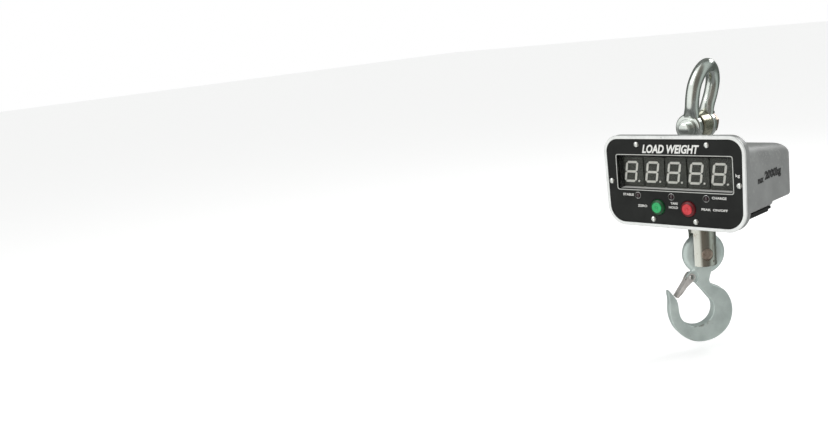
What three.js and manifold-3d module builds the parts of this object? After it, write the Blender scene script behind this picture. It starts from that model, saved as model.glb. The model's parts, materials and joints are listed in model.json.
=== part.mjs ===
// A hanging electronic crane scale: shackle, load cell, die-cast display case, swivel fork and safety hook.
// Millimetres, +Z up, the display faces -Y. The origin is the inner crown of the shackle bow,
// where a crane hook carries the scale.
import * as THREE from "three";
import { mergeVertices } from "three/addons/utils/BufferGeometryUtils.js";
import Module from "manifold-3d";

const wasm = await Module();
wasm.setup();

const RAD = Math.PI / 180;
const GAP = 0.3; // clearance between neighbouring pieces

// Poses at rest.
const BOW_TILT = 13.5 * RAD; // the bow leans towards +X on its pin
const FORK_TURN = 50 * RAD; // the fork's swivel angle about the load line

// Shackle, measured from its pin.
const BAR_R = 9.5;
const PIN_R = 10;
const EAR_R = 19.5;
const EAR_T = 11;
const JAW = 26;
const CROWN = 76; // pin to the crown's inner face
const BOW_HALF = 24; // widest half spread of the bar's centre line

// Front face. Everything below is measured from the shackle pin's centre.
const FACE_Y = -69;
const FACE_Z = -67.5; // centre of the front panel
const PANEL_HALF = 102.5; // half width at the panel's centre height
const PANEL_DRAFT = 0.03; // how much the half width grows per millimetre of height
const PANEL_H = 118;
const PANEL_T = 3;
const RIM = 5; // the bezel stands out this far round the panel
const BEZEL_DEPTH = 10;
const WINDOW_W = 176;
const WINDOW_H = 48;
const WINDOW_Z = 12.5; // window centre above the panel's centre
const DIGIT_PITCH = 33.9;
const DIGIT_X = -1.2; // centre of the middle digit module
const DIGIT_DEPTH = 12; // face of the digits behind the panel's face
const BUTTON_Z = -35.5;
const BUTTON_X = [-24.6, 22.3];
const BUTTON_R = 11.3;
const BUTTON_TRAVEL = 2.5;
const LAMP_X = [-55.6, -2.6, 49.8];
const LAMP_Z = -20;
const SCREW_AT = [
  [-53.7, 51.6],
  [53.7, 51.6],
  [-97.8, -0.8],
  [97.8, -0.8],
  [-32.7, -52.5],
  [32.7, -52.5],
];

// Case.
const CASE_HALF = 98;
const CASE_TOP = 53; // above the panel's centre, at the front
const CASE_LOW = -38; // underside of the rear block
const BASE_LOW = -45; // underside of the front block
const CASE_REAR = 152; // behind the front face
const BASE_REAR = 95;
const WALL = 4;
const TAPER_X = 0.93;
const TAPER_TOP = 0.6;

// Load line.
const CELL_T = 22;
const SHANK_R = 10;
const FORK_R = 19;
const SLOT = 19.6;
const HOOK_PIN_Z = -180.5;
const HOOK_PIN_R = 8;
const FORK_TOP = -124;
const FORK_END = -198.5;

// Hook, measured from the hook pin's centre: x along the hook's plane, y up.
const EYE_DROP = 1.2; // the pin bears on the top of the eye's bore
const EYE_R = 30.5;
const EYE_BORE = 9.3;
const HOOK_T = 17;
const BOWL = new THREE.Vector2(-16, -81.5);
const BOWL_R = 25;
const PIVOT = new THREE.Vector2(-20.5, -33.5);
const LATCH_R = 2.2; // rivet radius
const LUG_T = 10.4; // the latch's ears straddle this lug under the eye
const EAR_SWEEP = 7.6;

const paint = (color, roughness, metalness) =>
  new THREE.MeshStandardMaterial({ color, roughness, metalness });
const MAT = {
  zinc: paint(0xb9c0bd, 0.35, 1),
  steel: paint(0x9fa5a6, 0.4, 1),
  grey: paint(0x7d8280, 0.5, 0.3),
  silver: paint(0xd8dad8, 0.35, 0.8),
  black: paint(0x1b1d1c, 0.45, 0),
  rubber: paint(0x151515, 0.9, 0),
  lens: new THREE.MeshStandardMaterial({
    color: 0x30332f,
    roughness: 0.1,
    transparent: true,
    opacity: 0.35,
  }),
  digit: paint(0x55584f, 0.5, 0),
  board: paint(0x1f5f3a, 0.6, 0),
  green: paint(0x1f9e4d, 0.35, 0),
  red: paint(0xb8242f, 0.35, 0),
  lamp: paint(0x6b1c1c, 0.3, 0),
  battery: paint(0x2b2d30, 0.6, 0),
  brass: paint(0xb39a55, 0.35, 1),
};

/** A closed geometry as a solid that can be joined and cut. */
function solid(geometry) {
  const bare = geometry.clone();
  bare.deleteAttribute("normal");
  bare.deleteAttribute("uv");
  const merged = mergeVertices(bare, 1e-4);
  return new wasm.Manifold(
    new wasm.Mesh({
      numProp: 3,
      vertProperties: new Float32Array(merged.attributes.position.array),
      triVerts: new Uint32Array(merged.index.array),
    }),
  );
}

/** A solid's surface as a geometry. */
function surface(body) {
  const mesh = body.getMesh();
  const geometry = new THREE.BufferGeometry();
  geometry.setAttribute("position", new THREE.BufferAttribute(mesh.vertProperties, 3));
  geometry.setIndex(new THREE.BufferAttribute(mesh.triVerts, 1));
  geometry.computeVertexNormals();
  return geometry;
}

const join = (...pieces) => surface(pieces.map(solid).reduce((sum, piece) => sum.add(piece)));

const cut = (base, ...tools) =>
  surface(tools.map(solid).reduce((left, tool) => left.subtract(tool), solid(base)));

/** A box by its centre and its sizes along X, Y and Z. */
const block = (w, d, h, x = 0, y = 0, z = 0) => new THREE.BoxGeometry(w, d, h).translate(x, y, z);

/** A cylinder along Z from z0 to z1. */
const postZ = (r, z0, z1, sides = 24, x = 0, y = 0) =>
  new THREE.CylinderGeometry(r, r, z1 - z0, sides)
    .rotateX(Math.PI / 2)
    .translate(x, y, (z0 + z1) / 2);

/** A cylinder along Y from y0 to y1. */
const postY = (r, y0, y1, sides = 24, x = 0, z = 0) =>
  new THREE.CylinderGeometry(r, r, y1 - y0, sides).translate(x, (y0 + y1) / 2, z);

/** A ring about the Z axis. */
const ringZ = (inner, outer, z0, z1, sides = 32) =>
  cut(postZ(outer, z0, z1, sides), postZ(inner, z0 - 1, z1 + 1, sides));

/** A turned piece about the Y axis, from radius and Y pairs that start and end on the axis. */
function turned(profile, sides = 20) {
  const points = profile.map(([r, y]) => new THREE.Vector2(r, y));
  return new THREE.LatheGeometry(points, sides);
}

/** An upright plate of an outline drawn in X and Z, between y0 and y1. */
function plate(outline, y0, y1, bevel = 0, steps = 6) {
  const geometry = new THREE.ExtrudeGeometry(outline, {
    depth: y1 - y0 - 2 * bevel,
    bevelEnabled: bevel > 0,
    bevelThickness: bevel,
    bevelSize: bevel,
    bevelOffset: -bevel,
    bevelSegments: 2,
    curveSegments: steps,
  });
  return geometry.rotateX(Math.PI / 2).translate(0, y1 - bevel, 0);
}

/** A rectangle with round corners, by its sides. */
function roundRect(left, right, low, high, r, rLow = r) {
  const shape = new THREE.Shape();
  shape.moveTo(left + rLow, low);
  shape.lineTo(right - rLow, low);
  shape.absarc(right - rLow, low + rLow, rLow, -Math.PI / 2, 0);
  shape.lineTo(right, high - r);
  shape.absarc(right - r, high - r, r, 0, Math.PI / 2);
  shape.lineTo(left + r, high);
  shape.absarc(left + r, high - r, r, Math.PI / 2, Math.PI);
  shape.lineTo(left, low + rLow);
  shape.absarc(left + rLow, low + rLow, rLow, Math.PI, 1.5 * Math.PI);
  return shape;
}

/** The front panel's outline, a little wider at the top, grown by a margin. */
function panelOutline(grow) {
  const high = PANEL_H / 2 + grow;
  const top = PANEL_HALF + PANEL_DRAFT * 40 + grow;
  const foot = PANEL_HALF - PANEL_DRAFT * 40 + grow;
  const rTop = 19 + grow;
  const rFoot = 23 + grow;
  const shape = new THREE.Shape();
  shape.moveTo(-foot + rFoot, -high);
  shape.lineTo(foot - rFoot, -high);
  shape.absarc(foot - rFoot, -high + rFoot, rFoot, -Math.PI / 2, 0);
  shape.lineTo(top, high - rTop);
  shape.absarc(top - rTop, high - rTop, rTop, 0, Math.PI / 2);
  shape.lineTo(-top + rTop, high);
  shape.absarc(-top + rTop, high - rTop, rTop, Math.PI / 2, Math.PI);
  shape.lineTo(-foot, -high + rFoot);
  shape.absarc(-foot + rFoot, -high + rFoot, rFoot, Math.PI, 1.5 * Math.PI);
  return shape;
}

/** Narrows a case block towards the rear, and lowers its top. */
function drafted(geometry) {
  const at = geometry.attributes.position;
  for (let i = 0; i < at.count; i++) {
    const t = at.getY(i) / CASE_REAR;
    at.setX(i, at.getX(i) * (1 + (TAPER_X - 1) * t));
    if (at.getZ(i) > 0) at.setZ(i, at.getZ(i) * (1 + (TAPER_TOP - 1) * t));
  }
  return geometry;
}

/** The case's outer or inner shape: a tall front block and a shorter one behind it. */
function caseForm(inset, front, lower) {
  const rear = CASE_REAR - inset;
  const half = CASE_HALF - inset;
  const top = CASE_TOP - inset;
  const behind = roundRect(-half, half, CASE_LOW + inset, top, 24 - inset, 9 - inset / 2);
  const ahead = roundRect(-half, half, BASE_LOW - lower, 0, 8, 6 - inset / 2);
  return join(
    drafted(plate(behind, front, rear)),
    drafted(plate(ahead, front, BASE_REAR - inset)),
  );
}

const shackle = new THREE.Group();
const scale = new THREE.Group();
const face = new THREE.Group();
const forkGroup = new THREE.Group();
const hookGroup = new THREE.Group();

function add(group, name, geometry, material) {
  const mesh = new THREE.Mesh(geometry, material);
  mesh.name = name;
  group.add(mesh);
  return mesh;
}

// ---- Shackle ----

/** The bow: a round bar swept up one side, over the crown and down, with a round ear at each end. */
function shackleBow() {
  const ear = (JAW + EAR_T) / 2;
  const side = (s) => [
    new THREE.Vector3(0, s * ear, 6),
    new THREE.Vector3(0, s * (ear + 1.5), 24),
    new THREE.Vector3(0, s * BOW_HALF, 44),
    new THREE.Vector3(0, s * (BOW_HALF - 0.5), 62),
    new THREE.Vector3(0, s * (BOW_HALF - 9.5), 78),
  ];
  const crown = new THREE.Vector3(0, 0, CROWN + BAR_R);
  const path = new THREE.CatmullRomCurve3([...side(-1), crown, ...side(1).reverse()]);
  const section = new THREE.Shape().absarc(0, 0, BAR_R, 0, 2 * Math.PI);
  const bar = new THREE.ExtrudeGeometry(section, {
    steps: 24,
    curveSegments: 6,
    extrudePath: path,
  });
  const ears = [-1, 1].map((s) => {
    const y = (s * JAW) / 2;
    return postY(EAR_R, Math.min(y, y + s * EAR_T), Math.max(y, y + s * EAR_T), 28);
  });
  const jaw = block(2 * EAR_R + 2, JAW, 40, 0, 0, 0);
  const outer = JAW / 2 + EAR_T;
  return cut(
    join(bar, ...ears),
    jaw,
    postY(EAR_R - 2, outer, outer + 20, 28),
    postY(EAR_R - 2, -outer - 20, -outer, 28),
    postY(PIN_R + GAP, -60, 60, 28),
  );
}

function buildShackle() {
  const outer = JAW / 2 + EAR_T;
  add(shackle, "shackle_bow", shackleBow(), MAT.zinc);
  const bolt = turned([
    [0, -outer - 12],
    [6.5, -outer - 12],
    [8.5, -outer - 10.4],
    [8.5, -outer - 3],
    [12.5, -outer - 3],
    [12.5, -outer - GAP],
    [PIN_R, -outer - GAP],
    [PIN_R, outer + 17],
    [PIN_R - 1.5, outer + 18.5],
    [0, outer + 18.5],
  ], 28);
  const cotterHole = block(2.8, 3.4, 40, 0, outer + 14.5, 0);
  add(shackle, "shackle_bolt", cut(bolt, cotterHole), MAT.zinc);
  const nut = cut(
    postY(16.2, outer + GAP, outer + 11, 6),
    postY(PIN_R + GAP, outer - 1, outer + 12, 28),
  );
  add(shackle, "shackle_nut", nut, MAT.zinc);
  const head = postY(3.4, -1, 1, 12).translate(0, outer + 14.5, 14.5);
  const legs = block(2.2, 2.4, 28, 0, outer + 14.5, 0);
  add(shackle, "cotter_pin", join(legs, head), MAT.steel);
}

// ---- Front face: every geometry is in the face's own frame, its front at y = 0 ----

function bezelFrame() {
  const ring = cut(
    plate(panelOutline(RIM), -1, BEZEL_DEPTH, 1.2),
    plate(panelOutline(GAP), -2, PANEL_T + GAP),
    plate(panelOutline(-9), PANEL_T - 1, BEZEL_DEPTH + 1),
  );
  return cut(ring, ...SCREW_AT.map(([x, z]) => postY(1.9, 0, BEZEL_DEPTH + 1, 12, x, z)));
}

function frontPanel() {
  const holes = [
    plate(windowShape(0), -1, PANEL_T + 1),
    ...BUTTON_X.map((x) => postY(BUTTON_R + GAP, -1, PANEL_T + 1, 28, x, BUTTON_Z)),
    ...LAMP_X.map((x) => postY(4.3, -1, PANEL_T + 1, 16, x, LAMP_Z)),
    ...SCREW_AT.map(([x, z]) => postY(2.3, -1, PANEL_T + 1, 12, x, z)),
  ];
  return cut(plate(panelOutline(0), 0, PANEL_T), ...holes);
}

const windowShape = (grow) =>
  roundRect(
    -WINDOW_W / 2 - grow,
    WINDOW_W / 2 + grow,
    WINDOW_Z - WINDOW_H / 2 - grow,
    WINDOW_Z + WINDOW_H / 2 + grow,
    3,
  );

/** Pan head screw whose shank runs back from the panel's face. */
function panelScrew() {
  const screw = turned([
    [0, -2.6],
    [2, -2.4],
    [3.6, -1.5],
    [4.1, -GAP],
    [1.6, -GAP],
    [1.6, BEZEL_DEPTH - 2],
    [0, BEZEL_DEPTH - 2],
  ], 10);
  return cut(screw, block(4.6, 1.6, 0.9, 0, -2.6, 0));
}

/** One seven-segment display module: a shallow box with its decimal point's corner pin row behind. */
const digitModule = (x) => block(31.6, 9, 43, x, DIGIT_DEPTH + 4.5, WINDOW_Z - 1.4);

function buttonCap(x) {
  return turned([
    [0, -5.6],
    [5.6, -5.8],
    [6.6, -5.2],
    [7, -4],
    [9.2, -2.8],
    [BUTTON_R - 0.6, -0.8],
    [BUTTON_R - 0.3, 0],
    [BUTTON_R - 0.3, PANEL_T + 1.6],
    [3, PANEL_T + 1.6],
    [3, PANEL_T + 5.5],
    [0, PANEL_T + 5.5],
  ], 28).translate(x, 0, BUTTON_Z);
}

/** The switch behind a button: a box with a well that leaves the plunger its travel. */
function switchBody(x) {
  const body = block(18, 14, 18, x, PANEL_T + 12, BUTTON_Z);
  const well = postY(3.5, PANEL_T, PANEL_T + 5.5 + BUTTON_TRAVEL + GAP, 20, x, BUTTON_Z);
  return cut(body, well);
}

function buildFace() {
  add(face, "bezel_frame", bezelFrame(), MAT.silver);
  add(face, "front_panel", frontPanel(), MAT.black);
  const lens = plate(windowShape(3), PANEL_T + GAP, PANEL_T + 3);
  add(face, "window_lens", lens, MAT.lens);
  for (let i = 0; i < 5; i++) {
    const x = DIGIT_X + (i - 2) * DIGIT_PITCH;
    add(face, `digit_module_${i + 1}`, digitModule(x), MAT.digit);
  }
  const board = block(176, 1.6, 50, 0, DIGIT_DEPTH + 10.2, WINDOW_Z - 1.4);
  add(face, "display_board", board, MAT.board);
  LAMP_X.forEach((x, i) => {
    const lamp = turned([
      [0, 0.6],
      [2.6, 0.6],
      [3.2, -0.8],
      [4, -0.8],
      [4, PANEL_T + 6],
      [0, PANEL_T + 6],
    ], 16);
    add(face, `indicator_lamp_${i + 1}`, lamp.translate(x, 0, LAMP_Z), MAT.lamp);
  });
  SCREW_AT.forEach(([x, z], i) => {
    add(face, `panel_screw_${i + 1}`, panelScrew().translate(x, 0, z), MAT.silver);
  });
  add(face, "green_button", buttonCap(BUTTON_X[0]), MAT.green);
  add(face, "red_button", buttonCap(BUTTON_X[1]), MAT.red);
  add(face, "green_switch", switchBody(BUTTON_X[0]), MAT.black);
  add(face, "red_switch", switchBody(BUTTON_X[1]), MAT.black);
}

// ---- Case, in the same frame as the face ----

const REAR_W = 128;
const REAR_LOW = -30;
const REAR_HIGH = 20;
const LOAD_Y = -FACE_Y;
const NECK_HOLE_W = 37;
const NECK_HOLE_D = 28;
const TOP_SLOPE = Math.atan((CASE_TOP * (1 - TAPER_TOP)) / CASE_REAR);
const TOP_AT_CELL = CASE_TOP - Math.tan(TOP_SLOPE) * LOAD_Y; // the case's top beside the load cell

function caseShell() {
  const front = BEZEL_DEPTH + GAP;
  const opening = roundRect(-REAR_W / 2 + 8, REAR_W / 2 - 8, REAR_LOW + 7, REAR_HIGH - 7, 4);
  const shell = cut(
    caseForm(0, front, 0),
    caseForm(WALL, front - 1, WALL + 2),
    plate(opening, CASE_REAR - 10, CASE_REAR + 5),
    block(NECK_HOLE_W, NECK_HOLE_D, 40, 0, LOAD_Y, CASE_TOP),
    postY(5.2, CASE_REAR - 10, CASE_REAR + 5, 16, 76, -22),
  );
  const screwHoles = rearScrews().map(([x, z]) => postY(1.7, CASE_REAR - 10, CASE_REAR + 5, 10, x, z));
  return cut(shell, ...screwHoles);
}

const rearScrews = () =>
  [-1, 1].flatMap((s) => [REAR_LOW + 6, REAR_HIGH - 6].map((z) => [s * (REAR_W / 2 - 6), z]));

const footScrews = () => [-1, 1].flatMap((s) => [26, 82].map((y) => [s * 84, y]));

/** A countersunk screw through the rear cover, its head just below the cover's face. */
function rearScrew(x, z) {
  return turned([
    [0, -4.5],
    [1.4, -4.5],
    [1.4, 0.9],
    [3, 2.5],
    [3, 2.8],
    [0, 2.8],
  ], 12).translate(x, CASE_REAR, z);
}

/** The countersunk hole that takes a rear screw. */
function rearScrewHole(x, z) {
  return turned([
    [0, -6],
    [1.8, -6],
    [1.8, 0.9],
    [3.4, 2.5],
    [3.4, 6],
    [0, 6],
  ], 12).translate(x, CASE_REAR, z);
}

/** A pan head screw up into the case's base, its head on the bottom cover. */
function bottomScrew(x, y) {
  return turned([
    [0, 0],
    [1.4, 0],
    [1.4, 8.3],
    [3.2, 8.3],
    [2.6, 10],
    [0, 10.2],
  ], 12)
    .rotateX(-Math.PI / 2)
    .translate(x, y, BASE_LOW + 1);
}

/** A flat frame in the base's outline, lying between two heights. */
function baseSlab(inset, z0, z1) {
  const slab = plate(roundRect(-1, 1, z0, z1, 0.01), BEZEL_DEPTH + 2 * GAP + inset, BASE_REAR - inset);
  const at = slab.attributes.position;
  const half = CASE_HALF - 1 - inset;
  for (let i = 0; i < at.count; i++) at.setX(i, Math.sign(at.getX(i)) * half);
  return drafted(slab);
}

function bottomGasket() {
  const hole = block(150, 68, 20, 0, 55.5, BASE_LOW);
  const gasket = cut(baseSlab(0.5, BASE_LOW - 3, BASE_LOW - GAP), hole);
  return cut(gasket, ...footScrews().map(([x, y]) => postZ(1.9, -60, -30, 10, x, y)));
}

function bottomCover() {
  const cover = cut(
    baseSlab(3, BASE_LOW - 7, BASE_LOW - 3 - GAP),
    postZ(24, -70, -30, 32, 0, LOAD_Y),
  );
  return cut(cover, ...footScrews().map(([x, y]) => postZ(1.9, -60, -30, 10, x, y)));
}

function buildCase() {
  add(face, "case_shell", caseShell(), MAT.grey);
  const cover = roundRect(-REAR_W / 2, REAR_W / 2, REAR_LOW, REAR_HIGH, 7);
  const rear = cut(
    plate(cover, CASE_REAR + GAP, CASE_REAR + 3),
    ...rearScrews().map(([x, z]) => rearScrewHole(x, z)),
  );
  add(face, "rear_cover", rear, MAT.grey);
  rearScrews().forEach(([x, z], i) => {
    add(face, `rear_screw_${i + 1}`, rearScrew(x, z), MAT.steel);
  });
  add(face, "bottom_gasket", bottomGasket(), MAT.rubber);
  add(face, "bottom_cover", bottomCover(), MAT.grey);
  footScrews().forEach(([x, y], i) => {
    add(face, `bottom_screw_${i + 1}`, bottomScrew(x, y), MAT.steel);
  });
  add(face, "battery", block(100, 46, 48, 0, 118, -7), MAT.battery);
  add(face, "main_board", block(150, 1.6, 60, 0, 40, -2), MAT.board);
  const socket = turned([
    [0, -9],
    [4.8, -9],
    [4.8, 4.3],
    [8, 4.3],
    [8, 7],
    [3.4, 7],
    [3.4, -3],
    [0, -3],
  ], 20).translate(76, CASE_REAR, -22);
  add(face, "charging_socket", socket, MAT.black);
}

// ---- Load cell, measured from the shackle pin ----

const CELL_HALF = 26;
const CELL_END = -110;
const BOSS_END = -122;
const BOSS_R = 19.5;
const POCKET_TOP = -74;
const POCKET_LOW = -104;

function loadCell() {
  const half = CELL_T / 2;
  const eye = postY(20, -half, half, 32);
  const neck = block(30, CELL_T, 40, 0, 0, -20);
  const body = block(2 * CELL_HALF, CELL_T, CELL_END * -1 - 32, 0, 0, (CELL_END - 32) / 2);
  const gaugeHoles = [-46, -62].map((z) => postY(7, -20, 20, 20, 0, z));
  const slot = block(3, 30, 16, 0, 0, -54);
  const pocket = block(38, 40, POCKET_TOP - POCKET_LOW, 0, 0, (POCKET_TOP + POCKET_LOW) / 2);
  const boss = postZ(BOSS_R, BOSS_END, CELL_END + 1, 28);
  return cut(
    join(eye, neck, body, boss),
    postY(PIN_R + GAP, -20, 20, 28),
    ...gaugeHoles,
    slot,
    pocket,
    postZ(SHANK_R + GAP, -140, -90, 24),
  );
}

/** A rubber collar round the load cell's neck, seated in the case's top opening. */
function topSeal() {
  const collar = block(NECK_HOLE_W - 1, NECK_HOLE_D - 1, 7, 0, 0, -2.6);
  const lip = block(NECK_HOLE_W + 4, NECK_HOLE_D + 3, 1.5, 0, 0, 1.1);
  const leaning = join(collar, lip).rotateX(-TOP_SLOPE).translate(0, LOAD_Y, TOP_AT_CELL);
  return cut(leaning, block(30.8, CELL_T + 0.8, 40, 0, LOAD_Y, TOP_AT_CELL));
}

/** A rubber ring between the bottom cover's hole and the load cell's boss. */
const bottomSeal = () =>
  cut(
    postZ(23.5, BASE_LOW - 7, BASE_LOW - 3.5, 28, 0, LOAD_Y),
    postZ(BOSS_R + GAP, -70, -30, 28, 0, LOAD_Y),
  );

/** The bar that carries the case on the load cell. */
const cellBracket = () =>
  join(
    block(176, 4, 16, 0, LOAD_Y + CELL_T / 2 + 2 + GAP, 16),
    block(14, 10, 16, -81, LOAD_Y + CELL_T / 2 + 5 + GAP, 16),
    block(14, 10, 16, 81, LOAD_Y + CELL_T / 2 + 5 + GAP, 16),
  );

// ---- Swivel fork ----

function swivelFork() {
  const shank = postZ(SHANK_R, FORK_TOP - 1, -78, 24);
  const barrel = new THREE.LatheGeometry(
    [
      [0, FORK_END],
      [FORK_R - 1.5, FORK_END],
      [FORK_R, FORK_END + 1.5],
      [FORK_R, FORK_TOP - 1.5],
      [FORK_R - 1.5, FORK_TOP],
      [0, FORK_TOP],
    ].map(([r, z]) => new THREE.Vector2(r, z)),
    32,
  ).rotateX(Math.PI / 2);
  const slotTop = HOOK_PIN_Z - EYE_DROP + EYE_R + 2;
  const slot = block(60, SLOT, slotTop - FORK_END + 20, 0, 0, (slotTop + FORK_END - 20) / 2);
  const grub = postZ(1.6, FORK_END - 1, HOOK_PIN_Z - HOOK_PIN_R - 1, 10, 0, -FORK_R + 3.8);
  return cut(
    join(shank, barrel),
    slot,
    postY(HOOK_PIN_R + GAP, -40, 40, 24, 0, HOOK_PIN_Z),
    grub,
  );
}

function buildFork() {
  add(forkGroup, "swivel_fork", swivelFork(), MAT.zinc);
  const pin = turned([
    [0, -FORK_R + 0.6],
    [HOOK_PIN_R - 0.8, -FORK_R + 0.6],
    [HOOK_PIN_R, -FORK_R + 1.4],
    [HOOK_PIN_R, FORK_R - 1.4],
    [HOOK_PIN_R - 0.8, FORK_R - 0.6],
    [0, FORK_R - 0.6],
  ], 24).translate(0, 0, HOOK_PIN_Z);
  add(forkGroup, "hook_pin", pin, MAT.steel);
  const grub = postZ(1.3, FORK_END + 0.6, HOOK_PIN_Z - HOOK_PIN_R - 1.4, 10, 0, -FORK_R + 3.8);
  add(forkGroup, "pin_grub_screw", grub, MAT.steel);
  const nut = cut(postZ(17, -90, -79, 6), postZ(SHANK_R + GAP, -95, -70, 24));
  add(forkGroup, "swivel_nut", nut, MAT.steel);
  add(forkGroup, "bearing_upper_race", ringZ(SHANK_R + GAP, 16, -93.2, -90.3), MAT.steel);
}

/** The thrust bearing's ball ring: a thin cage with a ball swelling it at each pocket. */
function ballCage() {
  const balls = 9;
  const pieces = [ringZ(SHANK_R + 0.8, 16, -96.6, -95.6)];
  for (let i = 0; i < balls; i++) {
    const a = (2 * Math.PI * i) / balls;
    const ball = new THREE.SphereGeometry(2.3, 8, 5);
    pieces.push(ball.translate(13.4 * Math.cos(a), 13.4 * Math.sin(a), -96.1));
  }
  return join(...pieces);
}

// ---- Hook ----

function hookOutline() {
  const out = new THREE.Shape();
  const back = [
    [13, -49.2],
    [25, -56.5],
    [32.5, -68],
    [36, -82],
    [35, -97],
    [28.5, -112],
    [16, -123.5],
    [1, -129.3],
    [-16, -129.8],
    [-31, -124],
    [-43.5, -113],
    [-51.5, -99],
    [-55, -82],
    [-53.6, -66],
    [-55.6, -54],
  ];
  out.moveTo(8, -26);
  out.lineTo(4.6, -38);
  out.quadraticCurveTo(3.2, -47.4, 13, -49.2);
  out.splineThru(back.slice(1).map(([x, y]) => new THREE.Vector2(x, y)));
  out.quadraticCurveTo(-55.6, -48.6, -53.2, -49.6);
  out.lineTo(-43.6, -64);
  out.quadraticCurveTo(-41.6, -70, BOWL.x - BOWL_R, BOWL.y);
  out.absarc(BOWL.x, BOWL.y, BOWL_R, Math.PI, 2.12 * Math.PI);
  out.lineTo(-15, -42.5);
  out.lineTo(PIVOT.x - 2, PIVOT.y - 5.5);
  out.quadraticCurveTo(PIVOT.x - 7, PIVOT.y, PIVOT.x - 2, PIVOT.y + 6);
  out.lineTo(-14, -22);
  return out;
}

function hookBody() {
  const half = HOOK_T / 2;
  const body = plate(hookOutline(), -half, half, 0, 10);
  const ring = new THREE.Shape().absarc(0, -EYE_DROP, EYE_R, 0, 2 * Math.PI);
  const eye = plate(ring, -half, half, 4, 20);
  const cheek = LUG_T / 2;
  const lugSides = [
    postY(EAR_SWEEP, cheek, 20, 24, PIVOT.x, PIVOT.y),
    postY(EAR_SWEEP, -20, -cheek, 24, PIVOT.x, PIVOT.y),
  ];
  return cut(
    join(body, eye),
    postY(EYE_BORE, -20, 20, 28, 0, -EYE_DROP),
    postY(LATCH_R + GAP, -20, 20, 14, PIVOT.x, PIVOT.y),
    ...lugSides,
  );
}

const LATCH_LEAN = Math.atan2(-42.4 - -20.5, 65 - 33.5); // from straight down, towards the tip

/** The latch: a sheet channel with two ears on the rivet and a tongue that closes on the tip. */
function latchPlate() {
  const length = 36.4;
  const ears = [-1, 1].map((s) => postY(5.6, s * 6.4 - 0.6, s * 6.4 + 0.6, 20));
  const web = block(1.3, 14, length - 8, -3.5, 0, -(length + 8) / 2);
  const flanges = [-1, 1].map((s) => block(5.6, 1.2, length - 6, -1.3, s * 6.4, -length / 2));
  return cut(join(...ears, web, ...flanges), postY(LATCH_R + GAP, -20, 20, 14));
}

function buildHook() {
  add(hookGroup, "hook", hookBody(), MAT.zinc);
  const rivet = turned([
    [0, -9],
    [3, -9],
    [3.6, -8],
    [3.6, -7.3],
    [LATCH_R, -7.3],
    [LATCH_R, 7.3],
    [3.6, 7.3],
    [3.6, 8],
    [3, 9],
    [0, 9],
  ], 14).translate(PIVOT.x, 0, PIVOT.y);
  add(hookGroup, "latch_rivet", rivet, MAT.steel);
  const latch = add(hookGroup, "latch", latchPlate(), MAT.steel);
  latch.position.set(PIVOT.x, 0, PIVOT.y);
  latch.rotation.y = -LATCH_LEAN;
}

// ---- Assembly ----

buildShackle();
shackle.rotation.y = BOW_TILT;

buildFace();
buildCase();
add(face, "top_seal", topSeal(), MAT.rubber);
add(face, "bottom_seal", bottomSeal(), MAT.rubber);
add(face, "cell_bracket", cellBracket(), MAT.steel);
face.position.set(0, FACE_Y, FACE_Z);

add(scale, "load_cell", loadCell(), MAT.steel);
add(scale, "bearing_lower_race", ringZ(SHANK_R + 0.8, 16, -103.7, -99), MAT.steel);
add(scale, "bearing_ball_cage", ballCage(), MAT.brass);

buildFork();
forkGroup.rotation.z = FORK_TURN;
buildHook();
hookGroup.position.set(0, 0, HOOK_PIN_Z);
forkGroup.add(hookGroup);

scale.add(shackle, face, forkGroup);
scale.position.set(-CROWN * Math.sin(BOW_TILT), 0, -CROWN * Math.cos(BOW_TILT));

const craneScale = new THREE.Group();
craneScale.add(scale);

export default craneScale;
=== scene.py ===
"""Looks for a hanging electronic crane scale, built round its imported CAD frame.

Each sub-assembly is a class that shapes its pieces in millimetres, in its own frame. A piece is then
placed in the row frame in metres, takes its finish, and rides on the CAD body that carries it.
"""

import json
import logging
import math
from collections.abc import Callable, Iterable, Sequence
from dataclasses import dataclass
from enum import Enum

import bmesh
import bpy
from mathutils import Matrix, Vector


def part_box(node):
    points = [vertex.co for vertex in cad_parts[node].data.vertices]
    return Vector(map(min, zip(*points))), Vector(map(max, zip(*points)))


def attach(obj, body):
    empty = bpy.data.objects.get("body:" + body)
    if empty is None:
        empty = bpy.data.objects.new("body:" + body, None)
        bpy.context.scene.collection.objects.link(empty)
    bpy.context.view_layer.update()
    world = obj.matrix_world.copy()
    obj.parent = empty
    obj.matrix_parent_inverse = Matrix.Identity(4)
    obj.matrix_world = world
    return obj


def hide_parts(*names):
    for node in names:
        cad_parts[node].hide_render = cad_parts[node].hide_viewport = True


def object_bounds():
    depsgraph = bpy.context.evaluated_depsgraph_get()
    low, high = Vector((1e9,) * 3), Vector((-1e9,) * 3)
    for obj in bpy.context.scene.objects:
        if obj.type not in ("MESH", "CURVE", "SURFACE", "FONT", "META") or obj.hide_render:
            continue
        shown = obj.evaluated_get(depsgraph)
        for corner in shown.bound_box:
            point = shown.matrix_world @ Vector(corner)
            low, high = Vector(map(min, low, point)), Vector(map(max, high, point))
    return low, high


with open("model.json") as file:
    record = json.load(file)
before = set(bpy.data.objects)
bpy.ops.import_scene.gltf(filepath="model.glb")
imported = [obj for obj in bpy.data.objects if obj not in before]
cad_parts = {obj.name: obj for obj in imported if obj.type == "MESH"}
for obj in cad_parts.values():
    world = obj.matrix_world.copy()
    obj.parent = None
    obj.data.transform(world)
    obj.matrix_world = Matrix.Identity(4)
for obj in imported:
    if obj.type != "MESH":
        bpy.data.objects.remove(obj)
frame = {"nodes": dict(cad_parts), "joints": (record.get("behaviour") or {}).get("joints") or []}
CAD_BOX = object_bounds()

LOG = logging.getLogger("crane_scale")
MM = 0.001
WELD = 1e-3  # vertices closer than this are one, in millimetres
FINE = 3  # segments across a small rounded edge

Colour = tuple[float, float, float]
Point2 = tuple[float, float]


# ---- Node trees ----

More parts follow.
